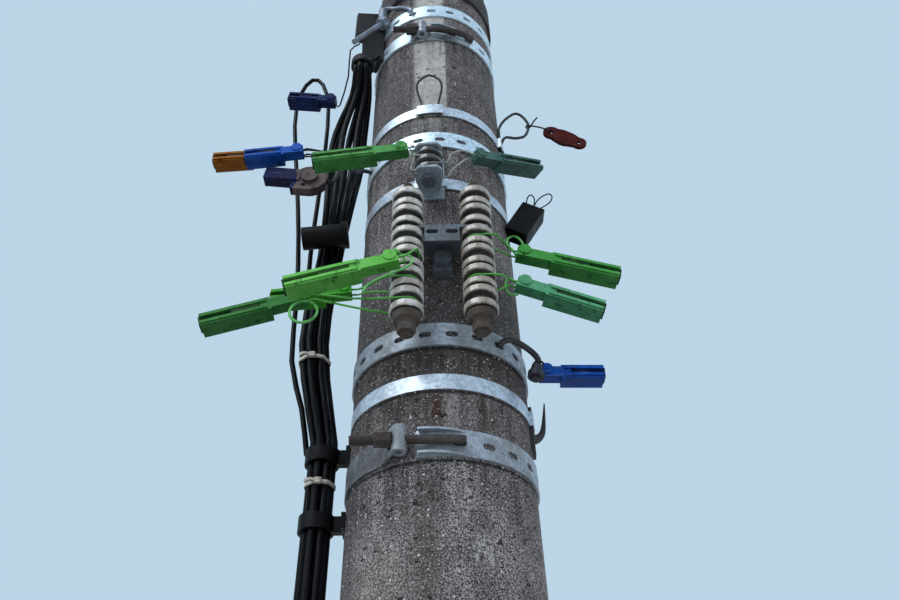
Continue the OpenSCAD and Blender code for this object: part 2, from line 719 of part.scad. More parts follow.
module rack_bolts() {
    clevis_bolt();
    crossbar_bolt();
}

// The bolt that draws the crossbar's saddle against the shaft, with a square washer at the back
module crossbar_bolt() {
    front = -shaft_r(shelf_z) - saddle_front - 0.1;
    back = shaft_r(through_bolt_z) + 1;
    color([0.35, 0.33, 0.32]) translate([front_x, 0, through_bolt_z]) {
        translate([0, front, 0]) rotate([-90, 0, 0]) union() {
            translate([0, 0, -8]) hex(19, 8);
            cylinder(d = bolt_d, h = back - front + 34, $fn = 40);
            translate([0, 0, back - front + 5]) hex(19, 10);
        }
        difference() {
            translate([-washer_w / 2, back - 9, -washer_w / 2]) cube([washer_w, 14.5, washer_w]);
            translate([-front_x, 0, -through_bolt_z]) shaft_space(0.1, shelf_z - 200, shelf_z + 200);
        }
    }
}

function spool_step() = spool_h + rest_gap;
function rod_top() = shelf_z + spools_above * spool_step() + rest_gap;
function rod_low() = shelf_z - shelf_t - spools_below * spool_step() - rest_gap;

// Middle of the neck of a rack spool: 0 upwards from the shelf, -1 downwards
function neck_z(i) = (i < 0 ? shelf_z - shelf_t + i * spool_step() : shelf_z + rest_gap + i * spool_step())
    + spool_h / 2;

module spools(x) {
    for (i = [-spools_below : spools_above - 1])
        translate([x, -rod_y, neck_z(i) - spool_h / 2])
            spool(spool_d, spool_h, 2, rack_rim_h, rack_neck_d, rack_boss_h);
}

module spools_left() { color([0.85, 0.83, 0.8]) spools(rod_left_x); }
module spools_right() { color([0.85, 0.83, 0.8]) spools(rod_right_x); }

rod_end = 8;
bowl_h = 14;

// The rods with a nut and washer on top and a stepped bowl and a nut underneath
module rack_rods() {
    color([0.3, 0.28, 0.27]) for (x = [rod_left_x, rod_right_x]) translate([x, -rod_y, 0]) union() {
        translate([0, 0, rod_low() - bowl_h - 10 - 4])
            cylinder(d = rod_d, h = rod_top() - rod_low() + bowl_h + 14 + 11 + rod_end, $fn = 40);
        translate([0, 0, rod_top()]) cylinder(d = 28, h = 2, $fn = 40);
        translate([0, 0, rod_top() + 2]) hex(19, 9);
        translate([0, 0, rod_low() - bowl_h]) rotate_extrude($fn = rim_fn)
            polygon([[0, 0], [9, 0], [11, 5], [15, 6], [17, bowl_h], [0, bowl_h]]);
        translate([0, 0, rod_low() - bowl_h - 10]) hex(19, 10);
    }
}

swan_wire_d = 7.5;
swan_az = band_4_slot_az + 3 * 360 / (slot_count + 1);
swan_r = shaft_r(band_4_z) + 0.6;
swan_root = [swan_r * sin(swan_az), -swan_r * cos(swan_az), band_4_z];
swan_tip = swan_root + [46, 15.5, -20];

// The hook at the right: its root stands in a slot of band 4, and a sleeve with a wide nut
// closes its other end
module swan_hook() {
    out = [sin(swan_az), -cos(swan_az), 0];
    color([0.2, 0.18, 0.18]) union() {
        wire(smooth_path([swan_root, swan_root + 5 * out, swan_root + 9 * out + [0, 0, 2],
            swan_root + [13, -6, 5], swan_root + [22, -1, 6], swan_root + [35, 7, 2],
            swan_root + [44, 12, -4],
            swan_root + [48, 14.5, -11], swan_tip], 3), swan_wire_d, 10);
        translate(swan_tip + [0, 0, 2]) rotate([0, 190, 0]) union() {
            cylinder(d = 13, h = 11, $fn = 32);
            translate([0, 0, 10]) cylinder(d = 20, h = 7, $fn = 32);
            cylinder(d = 10, h = 21, $fn = 32);
        }
    }
}

// The pointed horn at the right, on a plate that strap 3 holds
module horn_hook() {
    color([0.38, 0.36, 0.34]) union() {
        cone_plate(strap_3_z - 40, strap_3_z + 18, horn_plate_t, horn_az - 6.5, horn_az + 6.5, 0.1);
        on_shaft(horn_az, strap_3_z) wire(smooth_path([
            [1.5, -3.5, -19], [1.5, -8, -18], [1.5, -13, -13], [2, -16, -3], [2.5, -18.3, 13],
            [3, -20.5, 31]], 3),
            [for (i = [0 : 15]) 12.5 - 0.74 * i], 12);
    }
}

// Places a clamp from its nose to its tail, with its mouth to the front
module aim(c) {
    v = c[1] - c[0];
    translate(c[0]) rotate([0, -atan2(v[2], norm([v[0], v[1]])), atan2(v[1], v[0])])
        mirror([0, v[0] < 0 ? 1 : 0, 0]) children();
}

nose_share = 0.34;
nose_w = 16;
nose_h = 14;
rail_w = 4;
rail_reach = 2;
wire_way = 3;
wedge_play = 0.3;
wedge_out = 2;
lug_d = 15;
lug_sunk = 3.5;
lug_x = 9;
bail_y = [-8, 2];
bail_depth = 12;
bail_play = 0.6;

// A drop wire clamp: an open trough with two rails at its mouth, and a narrower nose
module clamp_shell(l) {
    nose_l = l * nose_share;
    difference() {
        union() {
            translate([nose_l, -clamp_w / 2, -clamp_h / 2]) cube([l - nose_l, clamp_w, clamp_h]);
            translate([0, -clamp_w / 2, -nose_h / 2]) cube([nose_l + 1, nose_w, nose_h]);
            for (side = [-1, 1])
                translate([nose_l + 4, -clamp_w / 2 - rail_reach, side * (mouth_w + rail_w) / 2 - rail_w / 2])
                    cube([l - nose_l - 4, rail_reach + 1, rail_w]);
            translate([lug_x, -clamp_w / 2 - 1.5, nose_h / 2 - lug_sunk]) rotate([-90, 0, 0])
                cylinder(d = lug_d, h = nose_w, $fn = 32);
        }
        translate([nose_l - 2, -clamp_w / 2 + clamp_wall, -clamp_h / 2 + clamp_wall])
            cube([l, clamp_w - 2 * clamp_wall, clamp_h - 2 * clamp_wall]);
        translate([nose_l + 12, -clamp_w, -mouth_w / 2]) cube([l, clamp_w, mouth_w]);
        for (y = bail_y) translate([-1, y, 0]) rotate([0, 90, 0])
            cylinder(d = bail_d + bail_play, h = bail_depth + 2, $fn = 24);
    }
}

// The wedge that grips the wire inside a clamp's trough
module clamp_wedge(l) {
    nose_l = l * nose_share;
    inner_w = clamp_w - 2 * clamp_wall;
    inner_h = clamp_h - 2 * clamp_wall;
    union() {
        translate([nose_l + 10, -clamp_w / 2 + clamp_wall + wedge_play, -inner_h / 2 + wedge_play])
            cube([l - nose_l - 10 + wedge_out, inner_w - 2 * wedge_play - wire_way,
                inner_h - 2 * wedge_play]);
        translate([nose_l + 13, -clamp_w / 2 - rail_reach / 2, -mouth_w / 2 + wedge_play])
            cube([(l - nose_l) * 0.4, clamp_wall + rail_reach, mouth_w - 2 * wedge_play]);
    }
}

front_c = [front_spool_y * sin(front_az), -front_spool_y * cos(front_az)];
left_c = [rod_left_x, -rod_y];
right_c = [rod_right_x, -rod_y];
front_pitch = (front_spool_h - 2 * front_boss_h - front_rim_h) / 2;
front_groove = strap_2_z + clevis_leg_low + clevis_t + rest_gap + front_boss_h
    + (front_pitch + front_rim_h) / 2;

// The middles of the grooves and hooks that the clamps hang from
function front_hub(i) = [front_c[0], front_c[1], front_groove + i * front_pitch];
function left_hub(i) = [left_c[0], left_c[1], neck_z(i)];
function right_hub(i) = [right_c[0], right_c[1], neck_z(i)];
function hook_hub(h) = [left_hook_x, left_hook_y, band_3_z + h];
swan_hub = swan_tip + [1.7, -0.5, 5];
arm_hub = arm_point([3, -42, 19]);

// Nose and tail of each clamp, from the hub that it hangs from
function from_hub(hub, nose, tail) = [hub + nose, hub + tail];
green_1 = from_hub(front_hub(1), [-29, 15.7, 40.6], [-158, 15.7, 20.4]);
green_2 = from_hub(front_hub(0), [61.6, 25.7, 52.2], [168.6, 89.7, 99.2]);
green_3 = from_hub(left_hub(-2), [-9.2, -25, -20.5], [-141.2, -25, -60]);
green_4 = from_hub(left_hub(-4), [-118.7, 23, 30.3], [-237.2, 23, -6.1]);
green_5 = from_hub(left_hub(-3), [-69.7, 49, 28.5], [-166.8, 49, 19.6]);
green_6 = from_hub(right_hub(-1), [48.4, 21, -3.4], [172, 31, -33.8]);
green_7 = from_hub(right_hub(-3), [44.8, 21, 12], [144.8, 31, -22.3]);
blue_1 = from_hub(hook_hub(8), [-64.9, -16, -6.8], [-149.4, -16, -18.1]);
blue_2 = from_hub(arm_hub, [-33.7, 31.8, -122.6], [-110, 31.8, -112.5]);
blue_3 = from_hub(swan_hub, [2.5, 25, -1], [82.5, 25, -3]);
orange_1 = from_hub(hook_hub(14), [-115.9, 2, -1.3], [-201.5, 2, -8.2]);
drum = from_hub(hook_hub(-3), [-29, -6, -48], [-119, -6, -35]);
green_2_l = clamp_l * 0.93;
green_4_l = clamp_l * 0.94;
green_5_l = clamp_l * 0.74;
green_6_l = clamp_l * 0.97;
green_7_l = clamp_l * 0.81;
blue_l = clamp_l * 0.64;
small_l = clamp_l * 0.59;

module clamp_green_1() { color([0.16, 0.4, 0.2]) aim(green_1) clamp_shell(clamp_l); }
module clamp_green_2() { color([0.25, 0.4, 0.32]) aim(green_2) clamp_shell(green_2_l); }
module clamp_green_3() { color([0.25, 0.62, 0.2]) aim(green_3) clamp_shell(clamp_l); }
module clamp_green_4() { color([0.15, 0.42, 0.18]) aim(green_4) clamp_shell(green_4_l); }
module clamp_green_5() { color([0.18, 0.62, 0.16]) aim(green_5) clamp_shell(green_5_l); }
module clamp_green_6() { color([0.2, 0.55, 0.2]) aim(green_6) clamp_shell(green_6_l); }
module clamp_green_7() { color([0.2, 0.5, 0.35]) aim(green_7) clamp_shell(green_7_l); }
module clamps_blue() {
    color([0.08, 0.2, 0.5]) {
        aim(blue_1) clamp_shell(blue_l);
        for (c = [blue_2, blue_3]) aim(c) clamp_shell(small_l);
    }
}
module clamp_orange() { color([0.8, 0.45, 0.12]) aim(orange_1) clamp_shell(blue_l); }

module clamp_wedges() {
    color([0.2, 0.45, 0.2]) {
        for (c = [green_1, green_3]) aim(c) clamp_wedge(clamp_l);
        aim(green_2) clamp_wedge(green_2_l);
        aim(green_4) clamp_wedge(green_4_l);
        aim(green_5) clamp_wedge(green_5_l);
        aim(green_6) clamp_wedge(green_6_l);
        aim(green_7) clamp_wedge(green_7_l);
        for (c = [blue_1, orange_1]) aim(c) clamp_wedge(blue_l);
        for (c = [blue_2, blue_3]) aim(c) clamp_wedge(small_l);
    }
}

red_t = 5;
red_tilt = 33.9;
red_l = 49.4;
red_hole_d = 7;
red_hub = face_point(side_hook_az, strap_1_z, side_hook_tip);
red_eye = red_hub + [35.5, -2, -18];

// The flat red clamp with two eyes, hung from the side wire hook
module clamp_red() {
    color([0.5, 0.08, 0.04]) translate(red_eye) rotate([0, red_tilt, 0]) rotate([90, 0, 0])
        translate([0, 0, -red_t / 2]) difference() {
            union() {
                cylinder(d = 27, h = red_t, $fn = 40);
                translate([red_l, 0, 0]) cylinder(d = 24, h = red_t, $fn = 40);
                linear_extrude(red_t) polygon([[-2, 11], [red_l * 0.3, 15.5], [red_l * 0.66, 15],
                    [red_l + 3, 9], [red_l + 1, -10], [red_l * 0.72, -14.5], [red_l * 0.62, -17],
                    [red_l * 0.45, -17.5], [-2, -11]]);
            }
            for (x = [0, red_l]) translate([x, 0, -1]) cylinder(d = red_hole_d, h = red_t + 2, $fn = 24);
        }
}

drum_d = 48;
drum_h = 14;
drum_l = 90;

// The drum clamp at the left: a flat round housing with a boss, and its narrower body
module drum_clamp() {
    color([0.2, 0.16, 0.16]) aim(drum) difference() {
        union() {
            translate([drum_d / 2, 0, 0]) rotate([90, 0, 0])
                cylinder(d = drum_d, h = drum_h, center = true, $fn = rim_fn);
            translate([drum_d / 2, -drum_h / 2 - 3, 0]) rotate([90, 0, 0])
                cylinder(d = 24, h = 6, center = true, $fn = 40);
            translate([drum_d / 2, -drum_h / 2, -drum_d / 2]) cube([24, drum_h, drum_d / 2 + 10]);
            translate([drum_d / 2 + 14, -9, -8]) cube([drum_l - drum_d / 2 - 14, 18, 22]);
            translate([0, -drum_h / 2, -8]) cube([20, drum_h, 16]);
        }
        translate([drum_d / 2 + 6, 0, -drum_d / 2 + 9]) rotate([90, 0, 0])
            cylinder(d = 6, h = 60, center = true, $fn = 24);
        for (y = bail_y) translate([-1, y * 0.4, 0]) rotate([0, 90, 0])
            cylinder(d = bail_d + bail_play, h = bail_depth + 2, $fn = 24);
    }
}

// A point of a clamp's own frame
function clamp_x(c) = unit(c[1] - c[0]);
function clamp_side(c) = let (v = clamp_x(c)) unit([-v[1], v[0], 0]);
function clamp_point(c, p) = c[0] + p[0] * clamp_x(c)
    + p[1] * (c[1][0] < c[0][0] ? -1 : 1) * clamp_side(c) + p[2] * cross(clamp_x(c), clamp_side(c));

front_neck = front_neck_d / 2 + bail_d / 2 + 0.45;
rack_neck = rack_neck_d / 2 + bail_d / 2 + 0.4;

// A bail from a clamp's nose round something upright: the hub it turns round, the radius of
// the turn, how far off the legs come together, the azimuth of the nose seen from the hub, and
// the points that each leg passes on its way, measured from the hub
module sling(c, hub, r, reach, back = [], front = [], toward = undef, inset = 1) {
    side = c[1][0] > c[0][0] ? 1 : -1;
    to = is_undef(toward) ? (side > 0 ? 0 : 180) : toward;
    arc = [for (i = [0 : 6]) let (a = to + side * (75 + 35 * i)) hub + r * [cos(a), sin(a), 0]];
    across = side * 0.9 * r * [sin(to), -cos(to), 0];
    gate = [for (k = [1, -1]) hub + reach * [cos(to), sin(to), 0] - k * across];
    hole = [for (y = [bail_y[1], bail_y[0]])
        [for (x = [bail_depth - 1, -0.5, -4, -9]) clamp_point(c, [x, y * inset, 0])]];
    wire(concat([hole[0][0]], smooth_path(concat([hole[0][1], hole[0][2], hole[0][3]],
        [for (b = back) hub + b], reach > 0 ? [gate[0]] : [], arc, reach > 0 ? [gate[1]] : [],
        [for (f = front) hub + f], [hole[1][3], hole[1][2], hole[1][1]]), 2), [hole[1][0]]), bail_d, 6);
}

hook_turn = left_hook_d / 2 + bail_d / 2 + 0.45;
red_turn = side_hook_d / 2 + bail_d / 2 + 0.4;

// The red clamp's wire: through its eye and round the side wire hook
module red_bail() {
    turn = [for (i = [0 : 6]) let (a = 60 + 45 * i)
        red_hub + [red_turn * cos(a), -red_turn * sin(a), 0.6 * i]];
    wire(smooth_path(concat([red_eye + [-2, red_t / 2 + 2.4, 0], red_eye + [-2, 0, 0],
        red_eye + [-4, -5, 0.5], red_hub + [17, -6, -8]], turn,
        [red_hub + [9, -5, 9], red_hub + [15, -8, 15]]), 2), bail_d, 6);
}

// The upper blue clamp's wire: up to the eye in the side arm's plate
module arm_bail() {
    nose = blue_2[0];
    wire(concat([clamp_point(blue_2, [11, 2, 0])], smooth_path([clamp_point(blue_2, [-0.5, 2, 0]),
        clamp_point(blue_2, [-6, 2, 0]), nose + [20.3, -26, 39.3], nose + [22.3, -42, 89.3],
        arm_point([3, -42, 19]), arm_point([7, -40.5, 26]), arm_point([12, -40, 26.6]),
        arm_point([17, -40, 26]), arm_point([19, -40, 19])], 2)), bail_d, 6);
}

// The lower blue clamp's wire: round the end of the swan hook
module swan_bail() {
    holes = [for (y = [bail_y[1], bail_y[0]]) for (x = [bail_depth - 1, -0.5])
        clamp_point(blue_3, [x, y, 0])];
    turn = [for (p = [[-5, 24, -1], [-8, 16, -0.5], [-6.5, 6, 0], [-4.6, -2.8, 0], [0.5, -5.3, 0],
        [5.3, -1.6, 0], [5, 6, -0.5], [1, 13, -1], [-2, 17.5, -1]]) swan_hub + p];
    wire(concat([holes[0]], smooth_path(concat([holes[1]], turn, [holes[3]]), 2), [holes[2]]), bail_d, 6);
}

module clamp_bails() {
    color([0.3, 0.5, 0.3]) {
        sling(green_1, front_hub(1), front_neck, 24, [[-22, 17, 20]], [[-23, -12, 20]]);
        sling(green_2, front_hub(0), front_neck, 24, [[43.6, 21.7, 39], [29.6, 15.7, 15]],
            [[29.6, -14.3, 15], [45.6, -0.3, 39]]);
        sling(green_3, left_hub(-2), rack_neck, 25, [[-6, -25, -9]], [[7, -30, -9]], 270);
        sling(green_4, left_hub(-4), rack_neck, 24, [[-63.5, 17, 13]], [[-63.5, -1, 11]]);
        sling(green_5, left_hub(-3), rack_neck, 24, [[-47.5, 35, 19]], [[-47.5, 19, 15]]);
        sling(green_6, right_hub(-1), rack_neck, 24);
        sling(green_7, right_hub(-3), rack_neck, 24);
        sling(blue_1, hook_hub(8), hook_turn, 0);
        sling(orange_1, hook_hub(14), hook_turn, 0, [[-62, 6, 8]], [[-62, -6, 8]]);
        sling(drum, hook_hub(-3), hook_turn, 0, [[-10, -2, -22]], [[-10, -10, -22]], inset = 0.4);
        red_bail();
        arm_bail();
        swan_bail();
    }
}

box_size = [34, 26, 58];
box_az = 72.1;
box_z = 4472;
box_off = 25.3;

// The splice box at the right of the racks
module splice_box() {
    color([0.07, 0.07, 0.08]) difference() {
        translate(face_point(box_az, box_z, [0, -box_off, 0])) rotate([0, 30, 0])
            cube(box_size, center = true);
        shaft_space(0.25, box_z - 150, box_z + 150);
    }
}

// Middle of the riser at a height
function riser_at(z) = [-shaft_r(z) - riser_gap - riser_r, 0, z];

riser_top = 4145;

// The route above the last stand-off: place, and how far the cables spread there
riser_route = [[riser_at(4290) + [-24.7, -4, 0], 1.25], [riser_at(4430) + [-13.7, -16, 0], 1.1],
    [riser_at(4530) + [-8, -20, 0], 1.5], [riser_at(4630) + [-6, -12, 0], 2.1],
    [riser_at(4710) + [-4, -8, 0], 2], [riser_at(4785) + [11, -31, 0], 1.2],
    [arm_point([arm_ring[0], arm_ring[1], arm_ring[2] - 22]), arm_spread],
    [arm_point([arm_ring[0], arm_ring[1], arm_ring[2] - 8]), arm_spread],
    [arm_point([arm_ring[0], arm_ring[1], arm_ring[2] + 12]), arm_spread]];

dome_d = 32;
dome_l = 56;
dome_y = -dome_d / 2 - riser_ring_r * riser_route[1][1] - cable_d / 2 - 1.3;
dome_place = riser_route[1][0] + [-34, dome_y, 10];

module splice_dome() {
    color([0.06, 0.06, 0.07]) translate(dome_place) rotate([0, 84, 0]) union() {
        cylinder(d = dome_d, h = dome_l, $fn = rim_fn);
        translate([0, 0, dome_l - 1]) cylinder(d = dome_d + 6, h = 8, $fn = rim_fn);
    }
}

slack_d = 7;

// One turn of slack cable beside the riser, from the top stand-off up to the side arm and back
slack_route = [[0, 0, 0], [-12, 0, 65], [-32, 0, 140], [-36, 0, 250], [-45, 0, 370], [-60, 0, 500],
    [-76, 0, 630], [-75, 0, 715], [-57, 0, 760], [-37, 0, 745], [-23, 0, 680], [-20, 0, 570], [-22, 0, 450],
    [-24, 1, 330], [-22, 8, 230], [-14, 14, 140], [-1, 15, 65], [9, 14, 0]];

module slack_turn() {
    foot = riser_at(slack_foot_z) + slack_start;
    wire(smooth_path([for (p = slack_route) foot + p], 2), slack_d);
}

module riser_cables() {
    color([0.05, 0.05, 0.06]) {
        for (i = [0 : riser_ring_count]) let (a = i * 360 / riser_ring_count,
                o = i == riser_ring_count ? [0, 0, 0] : riser_ring_r * [cos(a), sin(a), 0])
            wire(concat([riser_at(10) + o, riser_at(2000) + o, riser_at(3900) + o],
            smooth_path(concat([riser_at(riser_top) + o], [for (r = riser_route) r[0] + r[1] * o]), 3)),
            cable_d);
        slack_turn();
    }
}

stand_off_heights = [2450, 3300, 4041, 4125];
stand_off_h = 19;
stand_off_t = 3;
slack_foot_z = stand_off_heights[3] + stand_off_h / 2 + 0.2;
slack_start = (riser_r + stand_off_t + 1.2) * [-cos(17), sin(17), 0];

module stand_offs() {
    ring = riser_r + 0.4;
    color([0.16, 0.16, 0.18]) for (z = stand_off_heights) {
        c = riser_at(z);
        difference() {
            translate([0, 0, z - stand_off_h / 2]) linear_extrude(stand_off_h) difference() {
                union() {
                    translate([c[0], 0]) circle(r = ring + stand_off_t, $fn = rim_fn);
                    translate([c[0] + ring + 1, -5]) square([riser_gap, 10]);
                    translate([-shaft_r(z) - 4, -16]) square([10, 32]);
                }
                translate([c[0], 0]) circle(r = ring, $fn = rim_fn);
            }
            shaft_space(0.1, z - 100, z + 100);
        }
    }
}

guard_wall = 2.5;
guard_play = 3;
guard_half = riser_r + guard_play;
guard_out = riser_gap + 2 * riser_r + guard_play;
guard_foot = 8;

// Places children on the shaft's left face, measured from the foot
module at_riser() {
    rotate([0, 0, -90]) translate([0, -shaft_r(0), 0]) rotate([-lean, 0, 0]) children();
}

// The channel that guards the riser's foot
module cable_guard() {
    color([0.5, 0.52, 0.54]) difference() {
        at_riser() difference() {
            translate([-guard_half - guard_wall, -guard_out - guard_wall, guard_foot])
                cube([2 * (guard_half + guard_wall), guard_out + guard_wall + 8, guard_h]);
            translate([-guard_half, -guard_out, 0]) cube([2 * guard_half, guard_out + 20, guard_h + 20]);
        }
        shaft_space(0.2, -50, guard_h + 100);
    }
}

guard_strap_heights = [400, 1850];

// A strap round the shaft and the guard together
module guard_strap(z) {
    half = guard_half + guard_wall + 0.2;
    out = guard_out + guard_wall + 0.2;
    difference() {
        union() {
            cone_ring(z, strap_w, strap_t);
            at_riser() translate([-half - strap_t, -out - strap_t, z - strap_w / 2])
                cube([2 * (half + strap_t), out + strap_t + 6, strap_w]);
        }
        at_riser() translate([-half, -out, z - strap_w]) cube([2 * half, out + 20, 2 * strap_w]);
        shaft_space(fit, z - 50, z + 50);
    }
}

module guard_straps() { color([0.8, 0.82, 0.85]) for (z = guard_strap_heights) guard_strap(z); }

shaft();
top_cap();
head_collar();
collar_bolts();
band_1();
band_2();
band_3();
band_4();
band_5();
lug_bolts();
draw_bolts();
strap_1();
strap_2();
strap_3();
wire_hooks();
side_arm();
arm_bolt();
clevis();
front_spool();
crossbar();
rack_bolts();
rack_rods();
spools_left();
spools_right();
swan_hook();
horn_hook();
clamp_green_1();
clamp_green_2();
clamp_green_3();
clamp_green_4();
clamp_green_5();
clamp_green_6();
clamp_green_7();
clamps_blue();
clamp_orange();
clamp_red();
drum_clamp();
clamp_wedges();
clamp_bails();
splice_box();
splice_dome();
stand_offs();
riser_cables();
cable_guard();
guard_straps();
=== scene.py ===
"""Spun concrete telephone pole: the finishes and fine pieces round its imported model, in metres."""

import functools
import logging
import math
from collections.abc import Sequence
from dataclasses import dataclass
from enum import Enum

import bmesh
import bpy
from mathutils import Matrix, Vector


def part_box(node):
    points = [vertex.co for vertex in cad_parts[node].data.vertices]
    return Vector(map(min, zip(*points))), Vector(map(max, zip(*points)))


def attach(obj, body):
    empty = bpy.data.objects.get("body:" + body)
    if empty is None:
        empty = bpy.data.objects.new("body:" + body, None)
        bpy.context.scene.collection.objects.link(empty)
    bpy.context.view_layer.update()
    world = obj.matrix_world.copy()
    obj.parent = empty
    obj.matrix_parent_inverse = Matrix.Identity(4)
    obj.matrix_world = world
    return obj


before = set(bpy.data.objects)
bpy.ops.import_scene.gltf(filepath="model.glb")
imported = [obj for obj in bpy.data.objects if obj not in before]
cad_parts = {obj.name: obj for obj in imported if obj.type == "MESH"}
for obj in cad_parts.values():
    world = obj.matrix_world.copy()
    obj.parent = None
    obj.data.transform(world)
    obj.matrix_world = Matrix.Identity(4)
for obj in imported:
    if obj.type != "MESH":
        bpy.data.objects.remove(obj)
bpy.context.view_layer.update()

LOG = logging.getLogger("telephone_pole")
ROOT = "root"

Colour = tuple[float, float, float]
Point = tuple[float, float, float]

# Sockets of the colour Mix node, which carries a set for each kind of value.
MIX_SHARE, MIX_A, MIX_B, MIX_RESULT = 0, 6, 7, 2
# Sockets of the Random Value node for numbers.
RANDOM_LOW, RANDOM_HIGH = 2, 3


class Value:
    """A socket of a shader tree that takes part in plain sums."""

    def __init__(self, graph: "Graph", socket: bpy.types.NodeSocket) -> None:
        """Keep the socket and the graph that it belongs to."""
        self.graph = graph
        self.socket = socket

    def _math(self, operation: str, first: "Value | float", second: "Value | float" = 0.0) -> "Value":
        """Add one Math node.

        Args:
            operation: The Math node's operation.
            first: Its first value.
            second: Its second value.

        Returns:
            The node's result.
        """
        node = self.graph.node("ShaderNodeMath", {"operation": operation}, {0: first, 1: second})
        return Value(self.graph, node.outputs[0])

    def __add__(self, other: "Value | float") -> "Value":
        """Sum with a value or a number."""
        return self._math("ADD", self, other)

    def __sub__(self, other: "Value | float") -> "Value":
        """Difference to a value or a number."""
        return self._math("SUBTRACT", self, other)

    def __rsub__(self, other: float) -> "Value":
        """Difference of a number to this value."""
        return self._math("SUBTRACT", other, self)

    def __mul__(self, other: "Value | float") -> "Value":
        """Product with a value or a number."""
        return self._math("MULTIPLY", self, other)

    def __pow__(self, other: "Value | float") -> "Value":
        """Power of this value."""
        return self._math("POWER", self, other)

    def __gt__(self, other: "Value | float") -> "Value":
        """1 where this value is larger, otherwise 0."""
        return self._math("GREATER_THAN", self, other)

    def __lt__(self, other: "Value | float") -> "Value":
        """1 where this value is smaller, otherwise 0."""
        return self._math("LESS_THAN", self, other)

    __radd__ = __add__
    __rmul__ = __mul__

    def least(self, other: "Value | float") -> "Value":
        """The smaller of two values."""
        return self._math("MINIMUM", self, other)

    def most(self, other: "Value | float") -> "Value":
        """The larger of two values."""
        return self._math("MAXIMUM", self, other)

    def ramp(self, low: float, high: float, out_low: float = 0.0, out_high: float = 1.0) -> "Value":
        """Map a stretch of this value smoothly.

        Args:
            low: Value at which the result is out_low.
            high: Value at which the result is out_high.
            out_low: The result below the stretch.
            out_high: The result above it.

        Returns:
            The mapped value.
        """
        settings = {"interpolation_type": "SMOOTHSTEP"}
        inputs = {"Value": self, "From Min": low, "From Max": high, "To Min": out_low, "To Max": out_high}
        return Value(self.graph, self.graph.node("ShaderNodeMapRange", settings, inputs).outputs[0])


class Nodes:
    """A node tree under construction, with one way to add a node."""

    def __init__(self, tree: bpy.types.NodeTree) -> None:
        """Keep the tree."""
        self.tree = tree

    def node(self, kind: str, settings: dict, inputs: dict) -> bpy.types.Node:
        """Add one node.

        Args:
            kind: The node's type.
            settings: Its own settings, set first.
            inputs: What each named or numbered socket takes.

        Returns:
            The new node.
        """
        made = self.tree.nodes.new(kind)
        for name, setting in settings.items():
            setattr(made, name, setting)
        for name, value in inputs.items():
            self.feed(made.inputs[name], value)
        return made

    def feed(self, socket: bpy.types.NodeSocket, value: object) -> None:
        """Link something to a socket, or set it there.

        Args:
            socket: The socket that takes it.
            value: A value or socket to link, or a number, word, colour or vector to set.
        """
        source = value.socket if isinstance(value, Value) else value
        if isinstance(source, bpy.types.NodeSocket):
            self.tree.links.new(source, socket)
        elif isinstance(source, Sequence) and not isinstance(source, str):
            opaque = len(socket.default_value) == 4 and len(source) == 3
            socket.default_value = (*source, 1.0) if opaque else tuple(source)
        else:
            socket.default_value = source


